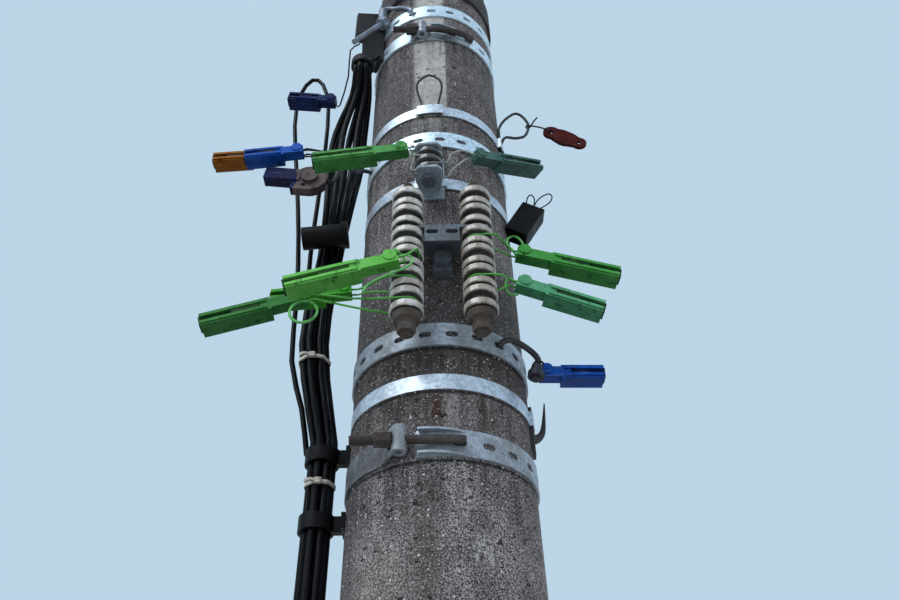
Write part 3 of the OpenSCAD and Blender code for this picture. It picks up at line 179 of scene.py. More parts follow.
class Graph(Nodes):
    """The node tree of one material, with short calls for the nodes that the finishes use."""

    def __init__(self, name: str) -> None:
        """Start a material with a Principled shader.

        Args:
            name: The material's name.
        """
        self.material = bpy.data.materials.new(name)
        self.material.use_nodes = True
        super().__init__(self.material.node_tree)
        self.shader = self.tree.nodes["Principled BSDF"]
        self.place = Value(self, self.node("ShaderNodeTexCoord", {}, {}).outputs["Object"])
        self.x, self.y, self.z = self.parts(self.place)

    def parts(self, vector: Value) -> list[Value]:
        """The three parts of a vector."""
        split = self.node("ShaderNodeSeparateXYZ", {}, {0: vector})
        return [Value(self, part) for part in split.outputs]

    def away(self, centre: Point) -> Value:
        """Distance of the surface to a point, in metres."""
        made = self.node("ShaderNodeVectorMath", {"operation": "DISTANCE"}, {0: self.place, 1: centre})
        return Value(self, made.outputs["Value"])

    @functools.cached_property
    def azimuth(self) -> Value:
        """Azimuth round the shaft in degrees, 0 at the front and growing to the right."""
        turned = self.node("ShaderNodeMath", {"operation": "ARCTAN2"}, {0: self.x, 1: self.y * -1.0})
        return Value(self, turned.outputs[0]) * math.degrees(1.0)

    def stretched(self, x: float, y: float, z: float) -> Value:
        """Object coordinates, stretched along the axes."""
        made = self.node("ShaderNodeVectorMath", {"operation": "MULTIPLY"}, {0: self.place, 1: (x, y, z)})
        return Value(self, made.outputs[0])

    def noise(self, scale: float, detail: float = 3.0, rough: float = 0.55,
              at: Value | None = None) -> Value:
        """A noise value from 0 to 1.

        Args:
            scale: Features for each metre.
            detail: Octaves.
            rough: How strong the small octaves are.
            at: Coordinates to read, or None for the object's own.

        Returns:
            The noise.
        """
        inputs = {"Vector": at or self.place, "Scale": scale, "Detail": detail, "Roughness": rough}
        return Value(self, self.node("ShaderNodeTexNoise", {}, inputs).outputs[0])

    def drawn(self, x: float, y: float, z: float, detail: float, rough: float) -> Value:
        """A noise value whose features are drawn out along an axis.

        Args:
            x: Features for each metre along X.
            y: Features for each metre along Y.
            z: Features for each metre along Z.
            detail: Octaves.
            rough: How strong the small octaves are.

        Returns:
            The noise.
        """
        return self.noise(1.0, detail, rough, self.stretched(x, y, z))

    def cells(self, scale: float, at: Value | None = None) -> tuple[Value, Value]:
        """Scattered cells.

        Args:
            scale: Cells for each metre.
            at: Coordinates to read, or None for the object's own.

        Returns:
            The distance to the nearest cell's middle, and a random number for each cell.
        """
        made = self.node("ShaderNodeTexVoronoi", {}, {"Vector": at or self.place, "Scale": scale})
        split = self.node("ShaderNodeSeparateColor", {}, {0: Value(self, made.outputs["Color"])})
        return Value(self, made.outputs["Distance"]), Value(self, split.outputs[0])

    def dots(self, scale: float, radius: float, share: float, ragged: Value,
             at: Value | None = None) -> Value:
        """Scattered dots, 1 inside and 0 outside.

        Args:
            scale: Cells for each metre.
            radius: Radius of a dot in its cell.
            share: Share of the cells that hold one.
            ragged: What eats into the dots' rims.
            at: Coordinates to read, or None for the object's own.

        Returns:
            The dots.
        """
        far, pick = self.cells(scale, at)
        return ((far + ragged) < radius) * (pick < share)

    def mix(self, share: "Value | float", first: "Value | Colour", second: "Value | Colour",
            blend: str = "MIX") -> Value:
        """Blend two colours.

        Args:
            share: How much of the second colour shows, from 0 to 1.
            first: The first colour.
            second: The second colour.
            blend: The way in which the second is laid over the first.

        Returns:
            The blended colour.
        """
        settings = {"data_type": "RGBA", "blend_type": blend}
        made = self.node("ShaderNodeMix", settings, {MIX_SHARE: share, MIX_A: first, MIX_B: second})
        return Value(self, made.outputs[MIX_RESULT])

    def shade(self, colour: "Value | Colour", amount: Value) -> Value:
        """Multiply a colour by a grey amount."""
        grey = self.node("ShaderNodeCombineColor", {}, {0: amount, 1: amount, 2: amount})
        return self.mix(1.0, colour, Value(self, grey.outputs[0]), "MULTIPLY")

    def upward(self) -> Value:
        """How far a face looks up, from -1 to 1."""
        geometry = self.node("ShaderNodeNewGeometry", {}, {})
        return self.parts(Value(self, geometry.outputs["Normal"]))[2]

    def finish(self, colour: "Value | Colour", rough: "Value | float", height: Value | None = None,
               depth: float = 0.0, metal: "Value | float" = 0.0,
               fixed: dict[str, float] | None = None) -> bpy.types.Material:
        """Link what the finish worked out to its shader.

        Args:
            colour: Base colour.
            rough: Roughness.
            height: Height of the surface for a bump, from 0 to 1, or None.
            depth: Depth of that bump in metres.
            metal: Metallic share.
            fixed: Plain numbers for other sockets of the shader.

        Returns:
            The finished material.
        """
        self.feed(self.shader.inputs["Base Color"], colour)
        self.feed(self.shader.inputs["Roughness"], rough)
        self.feed(self.shader.inputs["Metallic"], metal)
        for name, number in (fixed or {}).items():
            self.shader.inputs[name].default_value = number
        if height is not None:
            bump = self.node("ShaderNodeBump", {}, {"Strength": 1.0, "Distance": depth, "Height": height})
            self.feed(self.shader.inputs["Normal"], Value(self, bump.outputs[0]))
        return self.material


@dataclass(frozen=True)
class Streak:
    """An upright stain or patch of painted shade on the shaft, between two azimuths and two heights.

    Attributes:
        left: Azimuth of its left side in degrees.
        right: Azimuth of its right side.
        low: Height of its lower end in metres.
        high: Height of its upper end.
        colour: Its colour.
        strength: How far it covers the concrete, from 0 to 1.
        soft_left: Half the width of its left side's fade in degrees.
        soft_right: Half the width of its right side's fade.
        soft_ends: Length of the fade at each end in metres.
        torn: What is left of it where it is torn, from 0 to 1.
        sharp: True for fine, sharp flecks, as of spilt lime.
    """

    left: float
    right: float
    low: float
    high: float
    colour: Colour
    strength: float
    soft_left: float = 2.0
    soft_right: float = 2.0
    soft_ends: float = 0.06
    torn: float = 0.35
    sharp: bool = False


@dataclass(frozen=True)
class Concrete:
    """Spun concrete: crystals and grit, pits painted near black as shade, clouds, stains, the dirt that runs
    below each band and a line of painted shade right under it.

    Attributes:
        name: The material's name.
        dark: Colour of the paste in dark clouds.
        pale: Colour of the paste in pale clouds.
        crystal: Colour of crystals and pale stones.
        pit: Colour inside pits and holes, near black as painted shade in them.
        streaks: The stains and patches of painted shade, laid in this order.
        bands: Heights of the lower edges from which dirt runs, and under which a line of painted shade lies.
        run_length: How far it runs down.
        run_start: How far below the edge it is darkest.
        shade_line_width: Height of the line of painted shade right under a band.
        shade_line_start: How far below the edge that painted shade is darkest.
        waver: How wavy a stain's sides are, as a share of their fades.
        tear: Features for each metre of the noise that tears a stain, and the stretch that tears it.
        sharp_tear: The same for sharp flecks.
        grain_scale: Grains of the paste for each metre.
        dust_scale: Grains of the finest dust for each metre.
        crystal_scale: Cells of the crystals for each metre.
        stone_scale: Cells of the pale stones for each metre.
        pit_scale: Cells of the pits for each metre.
        hole_scale: Cells of the holes, which are larger pits.
        bump: Depth of the bump in metres.
        shine: Strength of the mirror shine.
    """

    name: str
    dark: Colour = (0.076, 0.073, 0.077)
    pale: Colour = (0.262, 0.254, 0.270)
    crystal: Colour = (0.78, 0.80, 0.86)
    pit: Colour = (0.012, 0.011, 0.012)
    streaks: tuple[Streak, ...] = ()
    bands: tuple[float, ...] = ()
    run_length: float = 0.10
    run_start: float = 0.012
    shade_line_width: float = 0.007
    shade_line_start: float = 0.002
    waver: float = 2.5
    tear: tuple[float, float, float] = (95.0, 0.36, 0.62)
    sharp_tear: tuple[float, float, float] = (230.0, 0.49, 0.57)
    grain_scale: float = 600.0
    dust_scale: float = 1300.0
    crystal_scale: float = 480.0
    stone_scale: float = 215.0
    pit_scale: float = 118.0
    hole_scale: float = 50.0
    bump: float = 0.0012
    shine: float = 0.3

    def material(self) -> bpy.types.Material:
        """Build the finish.

        Returns:
            The material.
        """
        g = Graph(self.name)
        cloud = g.noise(6.0, 5.0)
        mottle = g.noise(38.0, 6.0, 0.62)
        grain = g.noise(self.grain_scale, 2.0, 0.6)
        dust = g.noise(self.dust_scale, 2.0, 0.6)
        run = g.drawn(34.0, 34.0, 1.7, 5.0, 0.6)
        wobble = g.drawn(60.0, 60.0, 9.0, 4.0, 0.6) - 0.5
        drips = g.drawn(90.0, 90.0, 5.0, 4.0, 0.65).ramp(0.4, 0.66)
        tone = (cloud * 0.42 + mottle * 0.38 + run * 0.36 - 0.14).ramp(0.25, 0.72)
        colour = g.mix(tone, self.dark, self.pale)
        colour = g.shade(colour, (grain * 0.66 + dust * 0.34).ramp(0.41, 0.63, 0.1, 2.35))
        for streak in self.streaks:
            colour = self._lay_streak(g, colour, wobble, streak)
        for band in self.bands:
            colour = self._run_and_shade(g, colour, drips, band)
        fine_far, fine_pick = g.cells(self.crystal_scale)
        coarse_far, coarse_pick = g.cells(self.stone_scale)
        crystals = (fine_far < 0.34) * (fine_pick > 0.87)
        stones = (coarse_far < 0.27) * (coarse_pick > 0.945)
        colour = g.mix(crystals * 0.5, colour, self.crystal)
        colour = g.mix(stones * dust.ramp(0.35, 0.6, 0.15, 0.8), colour, self.crystal)
        ragged = grain * 0.22
        pits = g.dots(self.pit_scale, 0.33, 0.27, ragged, g.stretched(0.62, 0.62, 1.0))
        holes = g.dots(self.hole_scale, 0.25, 0.14, ragged, g.stretched(0.7, 0.7, 1.0))
        deep = pits.most(holes)
        # Pits and holes are painted near black: painted shade in the recesses.
        colour = g.mix(deep * 0.88, colour, self.pit)
        height = grain * 0.4 + mottle * 0.22 + crystals * 0.2 + stones * 0.25 - deep * 0.95 + 0.9
        rough = dust.ramp(0.2, 0.8, 0.8, 0.98)
        return g.finish(colour, rough, height, self.bump, fixed={"Specular IOR Level": self.shine})

    def _lay_streak(self, g: Graph, colour: Value, wobble: Value, streak: Streak) -> Value:
        """Lay one stain or patch of painted shade over the colour.

        Args:
            g: The material's graph.
            colour: The colour so far.
            wobble: What makes its sides wavy.
            streak: The stain or patch of painted shade.

        Returns:
            The stained colour.
        """
        past_left = self._edge(g, wobble, streak.left, streak.soft_left)
        past_right = self._edge(g, wobble, streak.right, streak.soft_right)
        above = g.z.ramp(streak.low, streak.low + streak.soft_ends)
        below = g.z.ramp(streak.high - streak.soft_ends, streak.high, 1.0, 0.0)
        scale, low, high = self.sharp_tear if streak.sharp else self.tear
        torn = g.noise(scale, 6.0, 0.72).ramp(low, high, streak.torn, 1.0)
        share = past_left * (1.0 - past_right) * above * below * torn
        return g.mix(share * streak.strength, colour, streak.colour)

    def _edge(self, g: Graph, wobble: Value, azimuth: float, soft: float) -> Value:
        """1 to the right of a wavy upright edge, 0 to the left of it."""
        return (g.azimuth + wobble * (soft * self.waver)).ramp(azimuth - soft, azimuth + soft)

    def _run_and_shade(self, g: Graph, colour: Value, drips: Value, band: float) -> Value:
        """Darken the concrete where dirt runs down from a band, and paint a line of shade right under its
        edge.

        Args:
            g: The material's graph.
            colour: The colour so far.
            drips: Where the dirt runs, from 0 to 1.
            band: Height of the band's lower edge.

        Returns:
            The darkened colour.
        """
        below = g.z < band
        reach = g.z.ramp(band - self.run_length, band - self.run_start)
        # A thin line of painted shade right under the band's edge.
        shade_line = g.z.ramp(band - self.shade_line_width, band - self.shade_line_start)
        return g.shade(colour, 1.0 - (reach * drips * 0.55).most(shade_line * 0.8) * below)


@dataclass(frozen=True)
class Zone:
    """A ball in which a finish has another colour.

    Attributes:
        centre: Its middle.
        reach: Its radius in metres.
        colour: The colour inside.
        metal: Metallic share inside, where the finish takes it.
    """

    centre: Point
    reach: float
    colour: Colour
    metal: float = 0.0


@dataclass(frozen=True)
class Zinc:
    """Galvanised or bare steel: spangle, dull patches, dirt specks, and rust where it is old.

    Attributes:
        name: The material's name.
        colour: Colour where it is bright.
        dull: Colour of its dull patches.
        rust: Colour of the rust.
        speck: Colour of the dirt specks.
        age: How much of it is dull, from 0 to 1.
        rusty: How much of it is rusty, from 0 to 1.
        rough: Roughness where it is bright.
        metal: Metallic share where it is bright.
        specks: Share of the cells that hold a speck.
        soot: Where dark dirt lies on it.
        spangle_scale: Crystals of the zinc for each metre.
        speck_scale: Cells of the specks for each metre.
        bump: Depth of the bump in metres.
    """

    name: str
    colour: Colour
    dull: Colour
    rust: Colour = (0.11, 0.055, 0.035)
    speck: Colour = (0.03, 0.028, 0.028)
    age: float = 0.3
    rusty: float = 0.0
    rough: float = 0.4
    metal: float = 0.6
    specks: float = 0.2
    soot: tuple[Zone, ...] = ()
    spangle_scale: float = 230.0
    speck_scale: float = 260.0
    bump: float = 0.00026

    def material(self) -> bpy.types.Material:
        """Build the finish.

        Returns:
            The material.
        """
        g = Graph(self.name)
        _, spangle = g.cells(self.spangle_scale)
        cloud = g.noise(30.0, 5.0, 0.6)
        fine = g.noise(520.0, 4.0, 0.65)
        scratch = g.drawn(60.0, 60.0, 900.0, 3.0, 0.7)
        worn = (cloud + (fine - 0.5) * 0.6).ramp(0.62 - 0.34 * self.age, 0.86 - 0.3 * self.age)
        bright = spangle.ramp(0.0, 1.0, 0.82, 1.14) * scratch.ramp(0.3, 0.7, 0.92, 1.06)
        colour = g.mix(worn * 0.85, g.shade(self.colour, bright), self.dull)
        spots = g.noise(95.0, 5.0, 0.7) + cloud * 0.3
        spots = spots.ramp(0.86 - 0.36 * self.rusty, 0.94 - 0.3 * self.rusty)
        colour = g.mix(spots * (0.9 if self.rusty > 0.0 else 0.2), colour, self.rust)
        for zone in self.soot:
            near = g.away(zone.centre).ramp(zone.reach * 0.4, zone.reach, 1.0, 0.0)
            colour = g.mix(near * (cloud + fine * 0.5).ramp(0.5, 0.95, 0.5, 0.95), colour, zone.colour)
        specks = g.dots(self.speck_scale, 0.34, self.specks, fine * 0.2)
        colour = g.mix(specks * 0.6, colour, self.speck)
        rough = worn * 0.22 + spots * 0.2 + fine * 0.12 + (self.rough - 0.05)
        metal = (1.0 - worn * 0.55) * (1.0 - spots * 0.8) * (1.0 - specks) * self.metal
        height = fine * 0.5 + spots * 0.35 + spangle * 0.06 - specks * 0.3
        return g.finish(colour, rough, height, self.bump, metal=metal)


@dataclass(frozen=True)
class Porcelain:
    """Glazed spools with dirt and painted shade in the necks, painted shade under the rims, and dirt down
    one side.

    Attributes:
        name: The material's name.
        glaze: Colour of the glaze.
        cream: Its colour in clouds.
        grime_and_shade: Colour of the dirt and of the painted shade.
        axes: Where the spools' upright axes stand.
        neck: Distance from an axis within which the dirt and painted shade lie thick.
        rim: Distance beyond which they don't lie.
        dirt: How dirty the spools are, from 0 to 1.
        chip: Colour of chips in the glaze.
        coat_rough: Roughness of the glaze's clear coat.
        bump: Depth of the bump in metres.
    """

    name: str
    glaze: Colour
    cream: Colour
    grime_and_shade: Colour
    axes: tuple[tuple[float, float], ...]
    neck: float
    rim: float
    dirt: float
    chip: Colour = (0.05, 0.04, 0.036)
    coat_rough: float = 0.12
    bump: float = 0.0002

    def material(self) -> bpy.types.Material:
        """Build the finish.

        Returns:
            The material.
        """
        g = Graph(self.name)
        # Dirt and painted shade lie thick in the necks, near the axes.
        inside = self._radius(g).ramp(self.neck, self.rim, 1.0, 0.0)
        # Painted shade, with some dirt, on faces that look down, under the rims.
        under = g.upward().ramp(-0.9, -0.25, 1.0, 0.0)
        cloud = g.noise(70.0, 5.0, 0.65)
        fine = g.noise(560.0, 4.0, 0.7)
        run = g.drawn(230.0, 230.0, 22.0, 4.0, 0.65)
        colour = g.mix((cloud + run * 0.4).ramp(0.5, 0.85), self.glaze, self.cream)
        # This stain share carries the dirt and the painted shade together.
        stain = inside * 0.95 + under * 0.3 + cloud * 0.45 + run * 0.5 + fine * 0.22 - 0.42
        stain = stain.ramp(0.6 - 0.34 * self.dirt, 0.84)
        colour = g.mix(stain * 0.94, colour, self.grime_and_shade)
        rings = g.drawn(14.0, 14.0, 460.0, 4.0, 0.7).ramp(0.52, 0.7)
        colour = g.mix(rings * 0.5 * self.dirt, colour, self.grime_and_shade)
        chips = (g.noise(85.0, 3.0) + fine * 0.25).ramp(0.83, 0.87)
        colour = g.mix(chips * 0.7, colour, self.chip)
        rough = stain * 0.42 + fine * 0.08 + 0.14
        g.feed(g.shader.inputs["Coat Weight"], (1.0 - stain * 0.85) * 0.5)
        height = fine * 0.3 + stain * 0.3 + chips * -0.6
        return g.finish(colour, rough, height, self.bump, fixed={"Coat Roughness": self.coat_rough})

    def _radius(self, g: Graph) -> Value:
        """Distance to the nearest spool's axis, in metres."""
        away = [((g.x - x) * (g.x - x) + (g.y - y) * (g.y - y)) ** 0.5 for x, y in self.axes]
        return functools.reduce(Value.least, away)


@dataclass(frozen=True)
class Plastic:
    """Moulded plastic that has stood in the sun: faded, dusty on top, lightly scratched, with painted shade
    on faces that look down and painted light on faces that look up.

    Attributes:
        name: The material's name, which for a green clamp is its node's name.
        colour: Colour where it is fresh.
        faded: Colour where it has faded.
        dust: Colour of dust and scratches.
        dusty: How thick the dust lies on top, from 0 to 1.
        rough: Roughness where it is fresh.
        shine: Strength of the mirror shine.
        scratched: How strongly the scratches show, from 0 to 1.
        zones: Where a part of it has another colour.
        bump: Depth of the bump in metres.
    """

    name: str
    colour: Colour
    faded: Colour
    dust: Colour = (0.30, 0.31, 0.30)
    dusty: float = 0.14
    rough: float = 0.38
    shine: float = 0.09
    scratched: float = 0.25
    zones: tuple[Zone, ...] = ()
    bump: float = 0.00018

    def material(self) -> bpy.types.Material:
        """Build the finish.

        Returns:
            The material.
        """
        g = Graph(self.name)
        cloud = g.noise(34.0, 5.0, 0.6)
        fine = g.noise(620.0, 3.0, 0.65)
        scratch = g.drawn(40.0, 700.0, 700.0, 2.0, 0.5).ramp(0.62, 0.7)
        fade = (cloud + fine * 0.3 - 0.12).ramp(0.36, 0.74)
        colour = g.mix(fade * 0.7, self.colour, self.faded)
        metal: Value | float = 0.0
        for zone in self.zones:
            inside = g.away(zone.centre) < zone.reach
            colour = g.mix(inside, colour, g.shade(zone.colour, fade.ramp(0.0, 1.0, 0.8, 1.3)))
            metal = inside * zone.metal + metal
        colour = g.mix(scratch * self.scratched, colour, self.dust)
        up = g.upward()
        lying = up.ramp(0.35, 0.95) * cloud.ramp(0.3, 0.6)
        colour = g.mix(lying * self.dusty, colour, self.dust)
        dirt = (g.noise(90.0, 5.0, 0.7) + fine * 0.25).ramp(0.66, 0.8)
        # Dirt darkens it; on top of that, faces that look down get painted shade and faces that look up
        # painted light.
        colour = g.shade(colour, dirt.ramp(0.0, 1.0, 1.0, 0.4) * up.ramp(-0.9, 0.25, 0.66, 1.35))
        rough = fade * 0.14 + lying * 0.2 + dirt * 0.15 + fine * 0.1 + (self.rough - 0.08)
        height = fine * 0.45 + scratch * -0.3 + cloud * 0.3
        fixed = {"Specular IOR Level": self.shine}
        return g.finish(colour, rough, height, self.bump, metal=metal, fixed=fixed)


@dataclass(frozen=True)
class Sheath:
    """Black cable sheath, chalky where it has weathered.

    Attributes:
        name: The material's name.
        colour: Colour where it is clean.
        chalk: Colour where it is chalky.
        chalky: How strongly the chalk shows, from 0 to 1.
        shine: Strength of the mirror shine.
        bump: Depth of the bump in metres.
    """

    name: str
    colour: Colour = (0.0025, 0.0025, 0.004)
    chalk: Colour = (0.011, 0.0115, 0.015)
    chalky: float = 0.55
    shine: float = 0.11
    bump: float = 0.0002

    def material(self) -> bpy.types.Material:
        """Build the finish.

        Returns:
            The material.
        """
        g = Graph(self.name)
        streaky = g.drawn(260.0, 260.0, 9.0, 4.0, 0.6)
        fine = g.noise(700.0, 3.0, 0.6)
        chalky = (streaky + fine * 0.3 - 0.12).ramp(0.44, 0.7)
        colour = g.mix(chalky * self.chalky, self.colour, self.chalk)
        rough = chalky * 0.25 + fine * 0.1 + 0.2
        height = fine * 0.4 + streaky * 0.4
        return g.finish(colour, rough, height, self.bump, fixed={"Specular IOR Level": self.shine})


class Paint(Enum):
    """The finishes that several sub-assemblies share."""

    # The strong blue of the bright zinc's colour is partly a painted reflection of the sky.
    BRIGHT_ZINC = Zinc("bright_zinc", (0.66, 0.83, 0.97), (0.36, 0.45, 0.55), age=0.22, rough=0.34,
                       metal=0.55, specks=0.05,
                       soot=(Zone((-0.028, -0.118, 4.861), 0.038, (0.10, 0.09, 0.088)),
                             Zone((0.020, -0.116, 4.860), 0.036, (0.085, 0.075, 0.074))))
    DULL_ZINC = Zinc("dull_zinc", (0.37, 0.43, 0.50), (0.19, 0.215, 0.25), age=0.6, rusty=0.12,
                     rough=0.42, metal=0.5, specks=0.26,
                     soot=(Zone((-0.085, -0.065, 4.07), 0.075, (0.062, 0.058, 0.060)),))
    STRAP = Zinc("strap_steel", (0.62, 0.70, 0.80), (0.46, 0.51, 0.58), age=0.05, rough=0.38,
                 metal=0.72, specks=0.06)
    CLEVIS = Zinc("clevis_grey", (0.285, 0.35, 0.42), (0.175, 0.205, 0.24), age=0.5, rusty=0.16,
                  metal=0.4, specks=0.12)
    BRACKET = Zinc("bracket_zinc", (0.125, 0.15, 0.19), (0.065, 0.076, 0.09), age=0.6, rusty=0.15,
                   metal=0.45, specks=0.15)
    OLD_STEEL = Zinc("old_steel", (0.066, 0.064, 0.070), (0.036, 0.034, 0.037), (0.05, 0.03, 0.022),
                     age=1.0, rusty=0.4, rough=0.6, metal=0.35)
    ARM = Zinc("arm_steel", (0.036, 0.035, 0.040), (0.019, 0.018, 0.020), (0.04, 0.024, 0.019),
               age=0.9, rusty=0.3, rough=0.6, metal=0.35)
    BOLT = Zinc("brown_bolt", (0.070, 0.064, 0.066), (0.032, 0.028, 0.029), (0.055, 0.029, 0.023),
                age=0.9, rusty=0.5, rough=0.55, metal=0.4)
    ROD = Zinc("grimy_rod", (0.10, 0.09, 0.082), (0.05, 0.043, 0.038), (0.075, 0.045, 0.03),
               age=0.9, rusty=0.5, rough=0.7, metal=0.2)
    HOOK = Zinc("hook_steel", (0.055, 0.058, 0.068), (0.02, 0.02, 0.024), (0.05, 0.03, 0.024),
                age=0.7, rusty=0.2, rough=0.4, metal=0.6)
    STAY = Zinc("stay_zinc", (0.32, 0.38, 0.46), (0.10, 0.12, 0.15), age=0.5, rough=0.34, metal=0.6)
    SHEATH = Sheath("cable_sheath")
    BLACK = Plastic("black_plastic", (0.003, 0.003, 0.0035), (0.009, 0.009, 0.011), dusty=0.04,
                    rough=0.4, shine=0.1, scratched=0.0)
    TIE = Plastic("cable_tie", (0.34, 0.34, 0.31), (0.50, 0.49, 0.44), dusty=0.1)
    GREEN_WIRE = Plastic("green_wire", (0.10, 0.42, 0.10), (0.2, 0.55, 0.2), dusty=0.1, rough=0.3)


class Palette:
    """Builds each shared material once."""

    def __init__(self) -> None:
        """Start with no material built."""
        self.built: dict[Paint, bpy.types.Material] = {}

    def get(self, paint: Paint) -> bpy.types.Material:
        """Find or build the material of a shared finish.

        Args:
            paint: The finish.

        Returns:
            Its material.
        """
        if paint not in self.built:
            self.built[paint] = paint.value.material()
        return self.built[paint]


def dress(material: bpy.types.Material, *nodes: str) -> None:
    """Give carried-over CAD nodes a material.

    Args:
        material: The material.
        *nodes: The nodes.
    """
    for node in nodes:
        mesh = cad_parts[node].data
        mesh.materials.clear()
        mesh.materials.append(material)


def stand(name: str, data: bpy.types.ID) -> bpy.types.Object:
    """Put new data in the scene as an object.

    Args:
        name: The object's name.
        data: Its mesh, camera or light.

    Returns:
        The object.
    """
    made = bpy.data.objects.new(name, data)
    bpy.context.scene.collection.objects.link(made)
    return made


def show(name: str, mesh: bpy.types.Mesh) -> None:
    """Put a finished mesh in the scene as a piece of the pole.

    Args:
        name: The piece's name.
        mesh: Its mesh, already in place.
    """
    piece = stand(name, mesh)
    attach(piece, ROOT)
    LOG.info("%s: %d faces", name, len(mesh.polygons))


def sketch(points: Sequence[Sequence[float]], edges: Sequence[tuple[int, int]] = (),
           faces: Sequence[tuple[int, ...]] = ()) -> bpy.types.Mesh:
    """Make a plain mesh.

    Args:
        points: Its points in metres.
        edges: The two points of each loose edge.
        faces: The points of each face.

    Returns:
        The mesh.
    """
    mesh = bpy.data.meshes.new("sketch")
    mesh.from_pydata([tuple(p) for p in points], list(edges), list(faces))
    return mesh


def polyline(points: Sequence[Sequence[float]], closed: bool = False) -> bpy.types.Mesh:
    """Points joined in order, and the last to the first where the line is closed."""
    last = len(points) if closed else len(points) - 1
    return sketch(points, [(i, (i + 1) % len(points)) for i in range(last)])


@dataclass
class Studio:
    """Camera, light, floor and backdrop.

    Attributes:
        eye: Where the camera stands.
        lens: Its focal length in millimetres.
        up_angle: How far it looks up, in degrees.
        turn: How far it is turned to the right.
        roll: How far it is tilted about its own axis.
        shift_y: Shift of the picture, as a share of its width.
        nearest: Distance at which it begins to see.
        backdrop: Colour of the backdrop.
        floor_colour: Colour of the floor.
        floor_rough: Roughness of the floor.
        floor_half: Half the width of the floor.
        ambient_colour: Colour of the even light from all round.
        ambient: Strength of that light.
        lamp_power: Strength of the lamp.
        lamp_softness: Angle in degrees under which the lamp is seen.
        lamp_way: The way in which its light falls.
    """

    eye: Point = (0.0, -0.8639, 3.6358)
    lens: float = 32.976
    up_angle: float = 40.191
    turn: float = 1.04
    roll: float = -1.739
    shift_y: float = 0.00164
    nearest: float = 0.01
    backdrop: Colour = (0.50, 0.665, 0.80)
    floor_colour: Colour = (0.62, 0.63, 0.63)
    floor_rough: float = 0.9
    floor_half: float = 40.0
    ambient_colour: Colour = (0.94, 0.97, 1.0)
    ambient: float = 0.72
    lamp_power: float = 1.35
    lamp_softness: float = 40.0
    lamp_way: Point = (0.55, 0.6, -0.75)

    def camera(self) -> None:
        """Place the camera as the photograph was taken."""
        pitch, yaw, roll = (math.radians(a) for a in (self.up_angle, self.turn, self.roll))
        right = Vector((math.cos(roll), -math.sin(roll) * math.sin(pitch), math.sin(roll) * math.cos(pitch)))
        up = Vector((-math.sin(roll), -math.cos(roll) * math.sin(pitch), math.cos(roll) * math.cos(pitch)))
        ahead = Vector((0.0, math.cos(pitch), math.sin(pitch)))
        axes = Matrix((right, up, -ahead)).transposed()
        data = bpy.data.cameras.new("photo_camera")
        data.lens = self.lens
        data.shift_y = self.shift_y
        data.clip_start = self.nearest
        camera = stand("photo_camera", data)
        camera.matrix_world = Matrix.Translation(self.eye) @ (Matrix.Rotation(-yaw, 3, "Z") @ axes).to_4x4()
        bpy.context.scene.camera = camera

    def world(self) -> None:
        """Light evenly, and show a plain pale backdrop to the camera and in what is glossy or clear."""
        world = bpy.data.worlds.new("pale_world")
        bpy.context.scene.world = world
        world.use_nodes = True
        nodes = Nodes(world.node_tree)
        light = nodes.tree.nodes["Background"]
        nodes.feed(light.inputs["Color"], self.ambient_colour)
        nodes.feed(light.inputs["Strength"], self.ambient)
        seen = nodes.node("ShaderNodeBackground", {}, {"Color": self.backdrop})
        ray = nodes.node("ShaderNodeLightPath", {}, {}).outputs
        shown = ray["Is Camera Ray"]
        for kind in ("Is Glossy Ray", "Is Transmission Ray"):
            either = nodes.node("ShaderNodeMath", {"operation": "MAXIMUM"}, {0: shown, 1: ray[kind]})
            shown = either.outputs[0]
        blend = nodes.node("ShaderNodeMixShader", {}, {0: shown, 1: light.outputs[0], 2: seen.outputs[0]})
        nodes.feed(nodes.tree.nodes["World Output"].inputs["Surface"], blend.outputs[0])

    def lamp(self) -> None:
        """One broad soft lamp from above, left and in front."""
        data = bpy.data.lights.new("soft_lamp", "SUN")
        data.energy = self.lamp_power
        data.angle = math.radians(self.lamp_softness)
        stand("soft_lamp", data).rotation_euler = Vector(self.lamp_way).to_track_quat("-Z", "Y").to_euler()

    def floor(self) -> None:
        """A plain pale floor at ground level."""
        half = self.floor_half
        corners = [(-half, -half, 0.0), (half, -half, 0.0), (half, half, 0.0), (-half, half, 0.0)]
        floor = stand("floor", sketch(corners, faces=[(0, 1, 2, 3)]))
        floor.data.materials.append(Graph("pale_floor").finish(self.floor_colour, self.floor_rough))

    def build(self) -> None:
        """Make the whole setting."""
        self.camera()
        self.world()
        self.lamp()
        self.floor()
        bpy.context.scene.view_settings.view_transform = "Standard"


